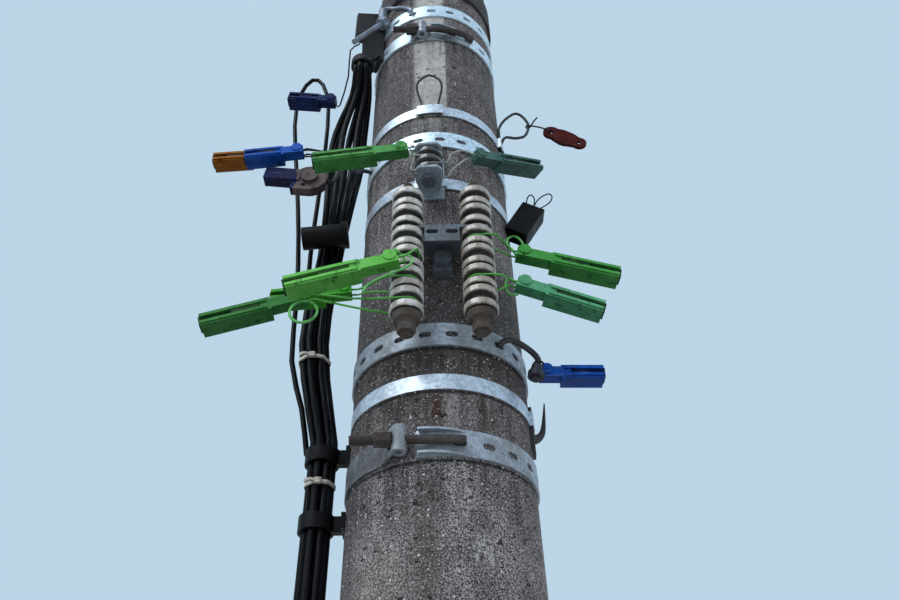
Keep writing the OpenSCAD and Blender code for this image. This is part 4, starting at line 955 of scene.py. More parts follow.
class Tree(Nodes):
    """A Geometry Nodes tree under construction."""

    def __init__(self, name: str, **kinds: str) -> None:
        """Start a tree with a geometry input and output, and its named inputs.

        Args:
            name: The tree's name.
            **kinds: The kind of socket for each named input.
        """
        super().__init__(bpy.data.node_groups.new(name, "GeometryNodeTree"))
        sockets = self.tree.interface
        for way in ("INPUT", "OUTPUT"):
            sockets.new_socket("Geometry", in_out=way, socket_type="NodeSocketGeometry")
        self.keys = {
            label: sockets.new_socket(label, in_out="INPUT", socket_type="NodeSocket" + kind).identifier
            for label, kind in kinds.items()}
        self.given = self.tree.nodes.new("NodeGroupInput").outputs

    def path(self) -> bpy.types.NodeSocket:
        """The given edges as a curve."""
        return self.node("GeometryNodeMeshToCurve", {}, {"Mesh": self.given["Geometry"]}).outputs[0]

    def circle(self, sides: bpy.types.NodeSocket | int,
               radius: bpy.types.NodeSocket) -> bpy.types.NodeSocket:
        """A round section."""
        ring = self.node("GeometryNodeCurvePrimitiveCircle", {}, {"Resolution": sides, "Radius": radius})
        return ring.outputs["Curve"]

    def sweep(self, curve: bpy.types.NodeSocket, section: bpy.types.NodeSocket,
              **more: bpy.types.NodeSocket) -> bpy.types.NodeSocket:
        """A section swept along a curve, its ends closed."""
        inputs = {"Curve": curve, "Profile Curve": section, "Fill Caps": True, **more}
        return self.node("GeometryNodeCurveToMesh", {}, inputs).outputs[0]

    def end(self, geometry: bpy.types.NodeSocket) -> None:
        """Realize the instances, set the material and link the output.

        Args:
            geometry: What the tree has made.
        """
        real = self.node("GeometryNodeRealizeInstances", {}, {0: geometry}).outputs[0]
        dressed = self.node("GeometryNodeSetMaterial", {}, {
            "Geometry": real, "Material": self.given["material"]})
        self.node("NodeGroupOutput", {}, {0: dressed.outputs[0]})

    def grow(self, name: str, source: bpy.types.Mesh, **inputs: object) -> bpy.types.Mesh:
        """Run the tree on a mesh, and keep the result as a plain mesh.

        Args:
            name: The new mesh's name.
            source: The mesh that the tree reads.
            **inputs: A value for each named input.

        Returns:
            The finished mesh.
        """
        host = stand(name + "_host", source)
        modifier = host.modifiers.new("grow", "NODES")
        modifier.node_group = self.tree
        for label, value in inputs.items():
            modifier[self.keys[label]] = value
        graph = bpy.context.evaluated_depsgraph_get()
        mesh = bpy.data.meshes.new_from_object(host.evaluated_get(graph), depsgraph=graph)
        mesh.name = name
        bpy.data.objects.remove(host)
        return mesh


class TubeTree(Tree):
    """Sweeps a round section along smooth lines through the points."""

    def __init__(self, rings: int = 12) -> None:
        """Build the tree.

        Args:
            rings: Points of the smooth line between two given points.
        """
        super().__init__("tube", radius="Float", step="Float", sides="Int", material="Material")
        smooth = self.node("GeometryNodeCurveSplineType", {"spline_type": "CATMULL_ROM"}, {
            "Curve": self.path()})
        fine = self.node("GeometryNodeSetSplineResolution", {}, {
            "Geometry": smooth.outputs[0], "Resolution": rings})
        even = self.node("GeometryNodeResampleCurve", {"mode": "LENGTH"}, {
            "Curve": fine.outputs[0], "Length": self.given["step"]})
        skin = self.sweep(even.outputs[0], self.circle(self.given["sides"], self.given["radius"]))
        self.end(self.node("GeometryNodeSetShadeSmooth", {}, {"Geometry": skin}).outputs[0])


class ThreadTree(Tree):
    """Winds a thread's ridge upwards round a bolt that stands on the origin."""

    def __init__(self, steps: int = 20) -> None:
        """Build the tree.

        Args:
            steps: Points for each turn of the thread.
        """
        super().__init__("thread", turns="Float", radius="Float", height="Float", ridge="Float",
                         material="Material")
        radius = self.given["radius"]
        spiral = self.node("GeometryNodeCurveSpiral", {}, {
            "Resolution": steps, "Rotations": self.given["turns"], "Start Radius": radius,
            "End Radius": radius, "Height": self.given["height"]})
        self.end(self.sweep(spiral.outputs[0], self.circle(sides=4, radius=self.given["ridge"])))


class RidgeTree(Tree):
    """Lays a ragged ridge along a line, as mortar stands out of a mould's joint."""

    def __init__(self, step: float = 0.006, bumps: float = 40.0) -> None:
        """Build the tree.

        Args:
            step: Length of each ring in metres.
            bumps: Bumps of the ridge for each metre.
        """
        super().__init__("ridge", radius="Float", wander="Float", seed="Float", material="Material")
        even = self.node("GeometryNodeResampleCurve", {"mode": "LENGTH"}, {
            "Curve": self.path(), "Length": step})
        noise = self.node("ShaderNodeTexNoise", {"noise_dimensions": "4D"}, {
            "W": self.given["seed"], "Scale": bumps, "Detail": 3.0})
        centred = self.node("ShaderNodeVectorMath", {"operation": "SUBTRACT"}, {
            0: noise.outputs["Color"], 1: (0.5, 0.5, 0.5)})
        offset = self.node("ShaderNodeVectorMath", {"operation": "SCALE"}, {
            0: centred.outputs[0], "Scale": self.given["wander"]})
        moved = self.node("GeometryNodeSetPosition", {}, {
            "Geometry": even.outputs[0], "Offset": offset.outputs[0]})
        thick = self.node("ShaderNodeMapRange", {}, {
            "Value": noise.outputs[0], "From Min": 0.4, "From Max": 0.62, "To Min": 0.1, "To Max": 1.0})
        section = self.circle(sides=6, radius=self.given["radius"])
        self.end(self.sweep(moved.outputs[0], section, Scale=thick.outputs[0]))


class BandTree(Tree):
    """Sweeps a flat band, upright, along a line or a closed loop."""

    def __init__(self) -> None:
        """Build the tree with the band's width and thickness as inputs."""
        super().__init__("band", width="Float", thick="Float", material="Material")
        level = self.node("GeometryNodeSetCurveNormal", {"mode": "Z_UP"}, {"Curve": self.path()})
        section = self.node("GeometryNodeCurvePrimitiveQuadrilateral", {}, {
            "Width": self.given["thick"], "Height": self.given["width"]})
        self.end(self.sweep(level.outputs[0], section.outputs[0]))


class RibTree(Tree):
    """Repeats a slanted rib along a line."""

    def __init__(self) -> None:
        """Build the tree with the count, size and slant of the ribs as inputs."""
        super().__init__("ribs", count="Int", size="Vector", slant="Vector", material="Material")
        even = self.node("GeometryNodeResampleCurve", {}, {
            "Curve": self.path(), "Count": self.given["count"]})
        rib = self.node("GeometryNodeMeshCube", {}, {"Size": self.given["size"]})
        turn = self.node("FunctionNodeEulerToRotation", {}, {0: self.given["slant"]})
        placed = self.node("GeometryNodeInstanceOnPoints", {}, {
            "Points": even.outputs[0], "Instance": rib.outputs[0], "Rotation": turn.outputs[0]})
        self.end(placed.outputs[0])


class GrainTree(Tree):
    """Scatters angular grains over a surface, half sunk in it."""

    def __init__(self, smallest: float = 0.35) -> None:
        """Build the tree.

        Args:
            smallest: Size of the smallest grain as a share of the largest.
        """
        super().__init__("grains", density="Float", radius="Float", seed="Int", material="Material")
        seed = self.given["seed"]
        points = self.node("GeometryNodeDistributePointsOnFaces", {}, {
            "Mesh": self.given["Geometry"], "Density": self.given["density"], "Seed": seed})
        size = self.node("FunctionNodeRandomValue", {}, {
            RANDOM_LOW: smallest, RANDOM_HIGH: 1.0, "Seed": seed})
        grain = self.node("GeometryNodeMeshIcoSphere", {}, {
            "Radius": self.given["radius"], "Subdivisions": 1})
        placed = self.node("GeometryNodeInstanceOnPoints", {}, {
            "Points": points.outputs[0], "Instance": grain.outputs[0],
            "Rotation": points.outputs["Rotation"], "Scale": size.outputs[1]})
        self.end(placed.outputs[0])


class SmoothTree(Tree):
    """Welds a carried-over node's doubled corners and shades it smooth up to a given edge angle."""

    def __init__(self, name: str, limit: float, weld: float = 1e-6) -> None:
        """Build the tree.

        Args:
            name: The tree's name.
            limit: Largest angle in degrees between two faces that still shade as one.
            weld: Largest distance in metres between two corners that are one.
        """
        super().__init__(name)
        plain = self.node("GeometryNodeRemoveAttribute", {}, {
            "Geometry": self.given["Geometry"], "Name": "custom_normal"})
        whole = self.node("GeometryNodeMergeByDistance", {}, {
            "Geometry": plain.outputs[0], "Distance": weld})
        faces = self.node("GeometryNodeSetShadeSmooth", {"domain": "FACE"}, {"Geometry": whole.outputs[0]})
        bend = self.node("GeometryNodeInputMeshEdgeAngle", {}, {})
        soft = self.node("FunctionNodeCompare", {"data_type": "FLOAT", "operation": "LESS_THAN"}, {
            0: bend.outputs[0], 1: math.radians(limit)})
        edges = self.node("GeometryNodeSetShadeSmooth", {"domain": "EDGE"}, {
            "Geometry": faces.outputs[0], "Shade Smooth": soft.outputs[0]})
        self.node("NodeGroupOutput", {}, {0: edges.outputs[0]})


class Workshop:
    """The Geometry Nodes trees, each built once, and the ways in which pieces and nodes are finished.

    Attributes:
        weld_angle: Largest angle in degrees that shades as one on moulded and bent pieces.
        round_angle: The same on swept wires and cables.
        flat_angle: Largest angle between two triangles that are one flat face.
        edge_angle: Smallest angle of an edge that is rounded.
        edge_rings: Rings of faces on a rounded edge.
        thread_sunk: How deep a thread's ridge lies in the rod, as a share of its pitch.
        thread_ridge: Radius of that ridge as a share of its pitch.
    """

    weld_angle: float = 28.0
    round_angle: float = 52.0
    flat_angle: float = 0.5
    edge_angle: float = 38.0
    edge_rings: int = 2
    thread_sunk: float = 0.12
    thread_ridge: float = 0.42

    def __init__(self) -> None:
        """Build the trees."""
        self.palette = Palette()
        self.tube = TubeTree()
        self.thread = ThreadTree()
        self.ridge = RidgeTree()
        self.band = BandTree()
        self.rib = RibTree()
        self.grain = GrainTree()
        self.weld = SmoothTree("weld", self.weld_angle)
        self.round = SmoothTree("round", self.round_angle)

    def paint(self, paint: Paint, *nodes: str) -> None:
        """Give carried-over nodes a shared finish."""
        dress(self.palette.get(paint), *nodes)

    def smooth(self, *nodes: str) -> None:
        """Shade swept wires and cables as round."""
        for node in nodes:
            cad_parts[node].modifiers.new("round", "NODES").node_group = self.round.tree

    def ease(self, width: float, *nodes: str) -> None:
        """Round the edges of carried-over nodes, their own meshes left as they are.

        Args:
            width: Width of the rounding in metres.
            *nodes: The nodes.
        """
        for node in nodes:
            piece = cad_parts[node]
            piece.modifiers.new("weld", "NODES").node_group = self.weld.tree
            flat = piece.modifiers.new("flat", "DECIMATE")
            flat.decimate_type = "DISSOLVE"
            flat.angle_limit = math.radians(self.flat_angle)
            edge = piece.modifiers.new("edge", "BEVEL")
            edge.width = width
            edge.segments = self.edge_rings
            edge.limit_method = "ANGLE"
            edge.angle_limit = math.radians(self.edge_angle)
            edge.harden_normals = True

    def wire(self, name: str, paint: Paint, path: Sequence[Point], diameter: float, closed: bool = False,
             sides: int = 10, step: float = 0.0025) -> bpy.types.Mesh:
        """Sweep a round wire along a smooth line.

        Args:
            name: The mesh's name.
            paint: Its finish.
            path: Points of the line in metres.
            diameter: The wire's diameter.
            closed: Whether the last point joins the first.
            sides: Sides of its section.
            step: Length of each ring.

        Returns:
            The wire's mesh.
        """
        return self.tube.grow(name, polyline(path, closed), radius=diameter / 2, step=step, sides=sides,
                              material=self.palette.get(paint))

    def thread_on(self, paint: Paint, place: Matrix, length: float, diameter: float,
                  pitch: float = 0.0018) -> bpy.types.Mesh:
        """Cut the look of a thread on a rod.

        Args:
            paint: The rod's finish.
            place: Where the thread starts, with its Z axis along the rod.
            length: Length of the thread.
            diameter: The rod's diameter.
            pitch: Distance between two turns.

        Returns:
            The thread's mesh.
        """
        mesh = self.thread.grow("thread", sketch([(0.0, 0.0, 0.0)]), turns=length / pitch, height=length,
                                radius=diameter / 2 - pitch * self.thread_sunk,
                                ridge=pitch * self.thread_ridge, material=self.palette.get(paint))
        mesh.transform(place)
        return mesh


def join(name: str, meshes: Sequence[bpy.types.Mesh]) -> bpy.types.Mesh:
    """Join meshes of one material into one.

    Args:
        name: The new mesh's name.
        meshes: The meshes, in place.

    Returns:
        The joined mesh.
    """
    whole = bmesh.new()
    for mesh in meshes:
        whole.from_mesh(mesh)
    joined = bpy.data.meshes.new(name)
    whole.to_mesh(joined)
    whole.free()
    for material in meshes[0].materials:
        joined.materials.append(material)
    return joined


def block(name: str, place: Matrix, size: Sequence[float], material: bpy.types.Material,
          rounding: float = 0.18) -> bpy.types.Mesh:
    """Make a block with rounded edges.

    Args:
        name: The mesh's name.
        place: Its middle and turn.
        size: Its three sizes in metres.
        material: Its finish.
        rounding: The edges' rounding as a share of its least size.

    Returns:
        The block's mesh.
    """
    body = bmesh.new()
    bmesh.ops.create_cube(body, size=1.0, matrix=place @ Matrix.Diagonal((*size, 1.0)))
    bmesh.ops.bevel(body, geom=body.edges[:], offset=min(size) * rounding, segments=2, profile=0.5,
                    affect="EDGES")
    mesh = bpy.data.meshes.new(name)
    body.to_mesh(mesh)
    body.free()
    mesh.materials.append(material)
    return mesh


def along(start: Sequence[float], direction: Sequence[float]) -> Matrix:
    """A place at start with its Z axis in a direction."""
    return Matrix.Translation(start) @ Vector(direction).to_track_quat("Z", "Y").to_matrix().to_4x4()


def hull(points: Sequence[tuple[float, float]]) -> list[tuple[float, float]]:
    """The tightest loop round some points, seen from above.

    Args:
        points: The points.

    Returns:
        The loop's corners, against the clock.
    """
    found: list[tuple[float, float]] = []
    rows = sorted(set(points))
    for row in (rows, rows[::-1]):
        start = len(found)
        for p in row:
            while len(found) > start + 1 and _turn(found[-2], found[-1], p) <= 0.0:
                found.pop()
            found.append(p)
        found.pop()
    return found


def _turn(a: tuple[float, float], b: tuple[float, float], c: tuple[float, float]) -> float:
    """Twice the area of a triangle, positive against the clock."""
    return (b[0] - a[0]) * (c[1] - a[1]) - (b[1] - a[1]) * (c[0] - a[0])


@dataclass
class Shaft:
    """The spun concrete shaft, its cap, the mortar at its mould's joints and its open grains.

    Attributes:
        foot_radius: Radius of the shaft at the ground.
        taper: How much the radius shrinks for each metre of height.
        height: Height of the shaft.
        joint_azimuths: Where the mould's joints run, in degrees.
        joint_radius: Radius of the mortar ridge in a joint.
        joint_wander: How far the ridge strays from a straight line.
        joint_sunk: How deep its middle lies in the face.
        joint_margin: Height at which it begins, and the same from the top.
        joint_steps: Lengths into which it is cut.
        grain_radius: Radius of the largest grains.
        grain_density: Grains for each square metre.
        grain_sunk: How deep their middles lie in the face.
        grain_margin: Height at which they begin, and the same from the top.
        grain_rows: Rows of the net on which they lie.
        grain_sides: Sides of that net.
        grain_seed: Seed of their places and sizes.
        bands: Heights of the lower edges of bands and straps from which dirt runs, and under which a line of
            painted shade lies.
        streaks: The stains, and two patches of painted shade.
    """

    foot_radius: float = 0.1385
    taper: float = 0.0075
    height: float = 6.0
    joint_azimuths: tuple[float, ...] = (-23.0, 157.0)
    joint_radius: float = 0.0011
    joint_wander: float = 0.0016
    joint_sunk: float = 0.0004
    joint_margin: float = 0.01
    joint_steps: int = 24
    grain_radius: float = 0.0014
    grain_density: float = 900.0
    grain_sunk: float = 0.0006
    grain_margin: float = 0.02
    grain_rows: int = 30
    grain_sides: int = 48
    grain_seed: int = 7
    bands: tuple[float, ...] = (4.208, 4.148, 4.062, 4.566, 4.478, 4.641, 4.846)
    streaks: tuple[Streak, ...] = (
        Streak(10.0, 60.0, 4.60, 5.02, (0.060, 0.060, 0.068), 0.62, 2.0, 20.0),
        Streak(-100.0, -19.0, 4.56, 4.87, (0.056, 0.055, 0.062), 0.78, 6.0, 3.0, 0.1, 0.65),
        # Painted shade on the shaft's front behind and under the rack, between its columns of spools.
        Streak(-80.0, 80.0, 4.14, 4.38, (0.034, 0.032, 0.035), 0.74, 12.0, 12.0, 0.06, 0.75),
        Streak(-95.0, 95.0, 4.085, 4.24, (0.060, 0.053, 0.049), 0.5, 10.0, 10.0, 0.02, 0.6),
        Streak(-18.0, 10.0, 4.60, 5.4, (0.52, 0.55, 0.54), 0.88, 4.0, 0.8, 0.07, 0.5),
        Streak(-60.0, -20.0, 3.2, 4.05, (0.20, 0.17, 0.145), 0.4, 14.0, 10.0, 0.2),
        Streak(3.0, 11.0, 4.085, 4.15, (0.30, 0.30, 0.31), 0.6, 2.0, 2.0, 0.02, 0.1),
        Streak(-4.6, 0.6, 4.098, 4.152, (0.035, 0.010, 0.006), 0.95, 1.0, 1.0, 0.02, 0.5),
        Streak(15.0, 28.0, 3.935, 3.995, (0.62, 0.64, 0.66), 0.62, 4.0, 4.0, 0.03, 0.0, True),
        Streak(-32.0, -23.0, 3.93, 3.98, (0.52, 0.50, 0.47), 0.45, 4.0, 4.0, 0.03, 0.0, True),
        Streak(13.0, 20.0, 4.0, 4.045, (0.55, 0.56, 0.57), 0.5, 2.0, 2.0, 0.02, 0.0, True),
        Streak(-19.0, -1.0, 3.0, 4.06, (0.058, 0.048, 0.045), 0.6, 6.0, 5.0, 0.05, 0.5),
        # Painted shadow of the riser cables down the shaft's left side.
        Streak(-115.0, -60.0, 3.0, 4.13, (0.046, 0.044, 0.048), 0.6, 4.0, 16.0, 0.1, 0.8),
    )

    def radius(self, z: float) -> float:
        """Radius of the shaft at a height."""
        return self.foot_radius - self.taper * z

    def face(self, azimuth: float, z: float, lift: float = 0.0) -> Point:
        """A point over the shaft's face.

        Args:
            azimuth: Azimuth in degrees, 0 at the front and growing to the right.
            z: Height in metres.
            lift: Distance from the face.

        Returns:
            The point.
        """
        out = self.radius(z) + lift
        turn = math.radians(azimuth)
        return out * math.sin(turn), -out * math.cos(turn), z

    def levels(self, margin: float, steps: int) -> list[float]:
        """Heights in equal steps, from one margin to the other."""
        return [margin + i * (self.height - 2 * margin) / steps for i in range(steps + 1)]

    def build(self, shop: Workshop) -> None:
        """Dress the concrete and lay the mortar and the grains.

        Args:
            shop: The workshop.
        """
        dress(Concrete("spun_concrete", streaks=self.streaks, bands=self.bands).material(), "shaft")
        mortar = Concrete("cap_mortar", dark=(0.10, 0.095, 0.09), pale=(0.22, 0.21, 0.20)).material()
        dress(mortar, "top_cap")
        levels = self.levels(self.joint_margin, self.joint_steps)
        ridges = [
            shop.ridge.grow("joint", polyline([self.face(az, z, -self.joint_sunk) for z in levels]),
                            radius=self.joint_radius, wander=self.joint_wander, seed=az, material=mortar)
            for az in self.joint_azimuths]
        show("joint_mortar", join("joint_mortar", ridges))
        show("open_grains", self._grains(shop))

    def _grains(self, shop: Workshop) -> bpy.types.Mesh:
        """Scatter pale grains over the face.

        Args:
            shop: The workshop.

        Returns:
            The grains' mesh.
        """
        sides, rows = self.grain_sides, self.grain_rows
        points = [self.face(360.0 * i / sides, z, -self.grain_sunk)
                  for z in self.levels(self.grain_margin, rows) for i in range(sides)]
        faces = []
        for row in range(0, rows * sides, sides):
            for i in range(sides):
                right = (i + 1) % sides
                faces.append((row + i, row + right, row + sides + right, row + sides + i))
        grain = Concrete("pale_grain", dark=(0.20, 0.19, 0.185), pale=(0.46, 0.45, 0.45)).material()
        return shop.grain.grow("open_grains", sketch(points, faces=faces), density=self.grain_density,
                               radius=self.grain_radius, seed=self.grain_seed, material=grain)


@dataclass(frozen=True)
class DrawBolt:
    """The bolt that draws a band tight, with its thread beyond the nut at the band's ear.

    Attributes:
        ear: Where the ear's middle is.
        length: Length of the thread that shows.
        ear_width: Width of the ear along the bolt.
        nut: Length of the nut.
        rod: The bolt's diameter.
    """

    ear: Point
    length: float
    ear_width: float = 0.022
    nut: float = 0.018
    rod: float = 0.010

    def thread(self, shop: Workshop) -> bpy.types.Mesh:
        """The thread, which points to the left."""
        start = Vector(self.ear) - Vector((self.ear_width / 2 + self.nut, 0.0, 0.0))
        return shop.thread_on(Paint.BOLT, along(start, (-1.0, 0.0, 0.0)), self.length, self.rod)


@dataclass
class HeadFittings:
    """What sits round the head: the wide collar, the two upper bands, the side arm and its stay.

    Attributes:
        draw: The draw bolt of the upper band.
        edge: Rounding of the edges.
    """

    draw: DrawBolt = DrawBolt((-0.019, -0.11122, 4.864), 0.019)
    edge: float = 0.0006

    def build(self, shop: Workshop) -> None:
        """Dress the pieces and thread the draw bolt.

        Args:
            shop: The workshop.
        """
        shop.paint(Paint.BRIGHT_ZINC, "band_1", "band_2")
        shop.paint(Paint.OLD_STEEL, "head_collar")
        shop.paint(Paint.ARM, "side_arm")
        shop.paint(Paint.BOLT, "collar_bolts", "lug_bolts", "draw_bolts")
        shop.paint(Paint.STAY, "arm_bolt")
        shop.ease(self.edge, "head_collar", "side_arm")
        shop.smooth("arm_bolt")
        show("head_thread", self.draw.thread(shop))


class Straps:
    """The plain straps and the wire hooks that they hold, with the third perforated band."""

    def build(self, shop: Workshop) -> None:
        """Dress the pieces.

        Args:
            shop: The workshop.
        """
        shop.paint(Paint.STRAP, "strap_1", "strap_2", "strap_3")
        shop.paint(Paint.BRIGHT_ZINC, "band_3")
        shop.paint(Paint.HOOK, "wire_hooks")
        shop.smooth("wire_hooks")


@dataclass
class FrontSpool:
    """The clevis at the front with its dark spool.

    Attributes:
        axis: Where the spool's axis stands.
        neck: Distance from the axis within which the dirt and painted shade lie thick.
        rim: Distance beyond which they don't lie.
        edge: Rounding of the clevis's edges.
    """

    axis: tuple[float, float] = (-0.0096, -0.1378)
    neck: float = 0.0125
    rim: float = 0.017
    edge: float = 0.0008

    def build(self, shop: Workshop) -> None:
        """Dress the clevis and glaze the spool.

        Args:
            shop: The workshop.
        """
        shop.paint(Paint.CLEVIS, "clevis")
        shop.ease(self.edge, "clevis")
        # The spool gets dirt and painted shade in its necks and under its rims.
        brown = Porcelain("brown_glaze", (0.028, 0.024, 0.030), (0.055, 0.055, 0.064), (0.010, 0.009, 0.010),
                          (self.axis,), self.neck, self.rim, 0.4)
        dress(brown.material(), "front_spool")


@dataclass
class Rack:
    """The crossbar with its two columns of spools.

    Attributes:
        axes: Where the two rods stand.
        rod: Diameter of the rods and of the through bolt.
        neck: Distance from an axis within which the dirt and painted shade lie thick.
        rim: Distance beyond which they don't lie.
        grime_and_shade: Colour of the dirt and of the painted shade.
        edge: Rounding of the crossbar's edges.
        top_tail: How far the thread at a rod's top starts below its end.
        top_thread: Length of that thread.
        foot_gap: How far the thread at a rod's foot starts above its end.
        foot_thread: Length of that thread.
        bolt_rise: Height of the through bolt over the lowest point of the bolts' node.
        bolt_tail: How far its thread starts before its rear end.
        bolt_thread: Length of that thread.
    """

    axes: tuple[tuple[float, float], ...] = ((-0.0365, -0.14503), (0.048, -0.14503))
    rod: float = 0.012
    neck: float = 0.0145
    rim: float = 0.0196
    grime_and_shade: Colour = (0.012, 0.0105, 0.010)
    edge: float = 0.0006
    top_tail: float = 0.0075
    top_thread: float = 0.0065
    foot_gap: float = 0.0005
    foot_thread: float = 0.003
    bolt_rise: float = 0.025
    bolt_tail: float = 0.017
    bolt_thread: float = 0.016

    def build(self, shop: Workshop) -> None:
        """Dress the crossbar, rods and spools, and thread the rods' ends.

        Args:
            shop: The workshop.
        """
        shop.paint(Paint.BRACKET, "crossbar", "rack_bolts")
        shop.paint(Paint.ROD, "rack_rods")
        shop.ease(self.edge, "crossbar")
        # Each column's spools get dirt and painted shade in their necks and under their rims.
        looks = (("spools_left", (0.60, 0.625, 0.64), (0.36, 0.34, 0.31), 0.7),
                 ("spools_right", (0.46, 0.45, 0.43), (0.25, 0.22, 0.185), 0.95))
        for node, glaze, cream, dirt in looks:
            finish = Porcelain(node + "_glaze", glaze, cream, self.grime_and_shade, self.axes, self.neck, self.rim,
                               dirt)
            dress(finish.material(), node)
        low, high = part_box("rack_rods")
        ends = []
        for x, y in self.axes:
            ends.append((along((x, y, high.z - self.top_tail), (0.0, 0.0, 1.0)), self.top_thread))
            ends.append((along((x, y, low.z + self.foot_gap), (0.0, 0.0, 1.0)), self.foot_thread))
        low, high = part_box("rack_bolts")
        middle = (self.axes[0][0] + self.axes[1][0]) / 2
        start = (middle, high.y - self.bolt_tail, low.z + self.bolt_rise)
        ends.append((along(start, (0.0, 1.0, 0.0)), self.bolt_thread))
        threads = [shop.thread_on(Paint.ROD, place, length, self.rod) for place, length in ends]
        show("rack_threads", join("rack_threads", threads))


@dataclass
class LowFittings:
    """The two lower bands with the hooks at their right and the lowest draw bolt.

    Attributes:
        draw: The draw bolt of the lowest band.
    """

    draw: DrawBolt = DrawBolt((-0.044, -0.1171, 4.080), 0.023)

    def build(self, shop: Workshop) -> None:
        """Dress the pieces and thread the draw bolt.

        Args:
            shop: The workshop.
        """
        shop.paint(Paint.DULL_ZINC, "band_4", "band_5")
        shop.paint(Paint.HOOK, "swan_hook")
        shop.paint(Paint.OLD_STEEL, "horn_hook")
        shop.smooth("swan_hook", "horn_hook")
        show("low_thread", self.draw.thread(shop))


@dataclass(frozen=True)
class BlueClamp:
    """A blue drop wire clamp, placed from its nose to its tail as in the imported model.

    Attributes:
        nose: Where its nose is.
        tail: Where its tail is.
        length: Length of its body.
        colour: Colour of its plastic.
        width: Width of its body.
        depth: Depth of its body.
        ribs_from: Where the ribs begin, as a share of the length.
        ribs_to: Where they end.
        rib_thick: Size of a rib along the body.
        rib_rise: Size of a rib out of the body.
        rib_slant: Turn of a rib in radians.
        low_share: Length of a rib on the underside as a share of the width.
        low_shift: How far those ribs lie from the middle.
        front_share: Length of a rib on the front as a share of the depth.
        front_shift: How far those ribs lie from the middle, as a share of the depth.
    """

    nose: Point
    tail: Point
    length: float
    colour: Colour
    width: float = 0.023
    depth: float = 0.018
    ribs_from: float = 0.42
    ribs_to: float = 0.94
    rib_thick: float = 0.0018
    rib_rise: float = 0.0016
    rib_slant: float = 0.6
    low_share: float = 0.62
    low_shift: float = -0.001
    front_share: float = 0.24
    front_shift: float = -0.36

    def place(self) -> Matrix:
        """Work out the clamp's frame, in which X points to the tail and the mouth to -Y.

        Returns:
            The frame.
        """
        way = Vector(self.tail) - Vector(self.nose)
        turn = Matrix.Rotation(math.atan2(way.y, way.x), 4, "Z")
        dip = Matrix.Rotation(-math.atan2(way.z, math.hypot(way.x, way.y)), 4, "Y")
        flip = Matrix.Diagonal((1.0, -1.0 if way.x < 0.0 else 1.0, 1.0, 1.0))
        return Matrix.Translation(self.nose) @ turn @ dip @ flip

    def ribs(self, shop: Workshop, material: bpy.types.Material, low: bool,
             count: int = 7) -> bpy.types.Mesh:
        """Slanted grip ribs on the front or the underside of the body.

        Args:
            shop: The workshop.
            material: The ribs' finish.
            low: True for the underside, False for the front.
            count: Number of ribs.

        Returns:
            The ribs' mesh, in place.
        """
        if low:
            across, up = self.low_shift, -self.depth / 2
            size = (self.rib_thick, self.width * self.low_share, self.rib_rise)
            slant = (0.0, 0.0, self.rib_slant)
        else:
            across, up = -self.width / 2, self.depth * self.front_shift
            size = (self.rib_thick, self.rib_rise, self.depth * self.front_share)
            slant = (0.0, self.rib_slant, 0.0)
        ends = [(self.length * share, across, up) for share in (self.ribs_from, self.ribs_to)]
        mesh = shop.rib.grow("ribs", polyline(ends), count=count, size=size, slant=slant, material=material)
        place = self.place()
        mesh.transform(place)
        if place.determinant() < 0.0:
            mesh.flip_normals()
        return mesh


STEEL_BAIL: Colour = (0.030, 0.032, 0.038)


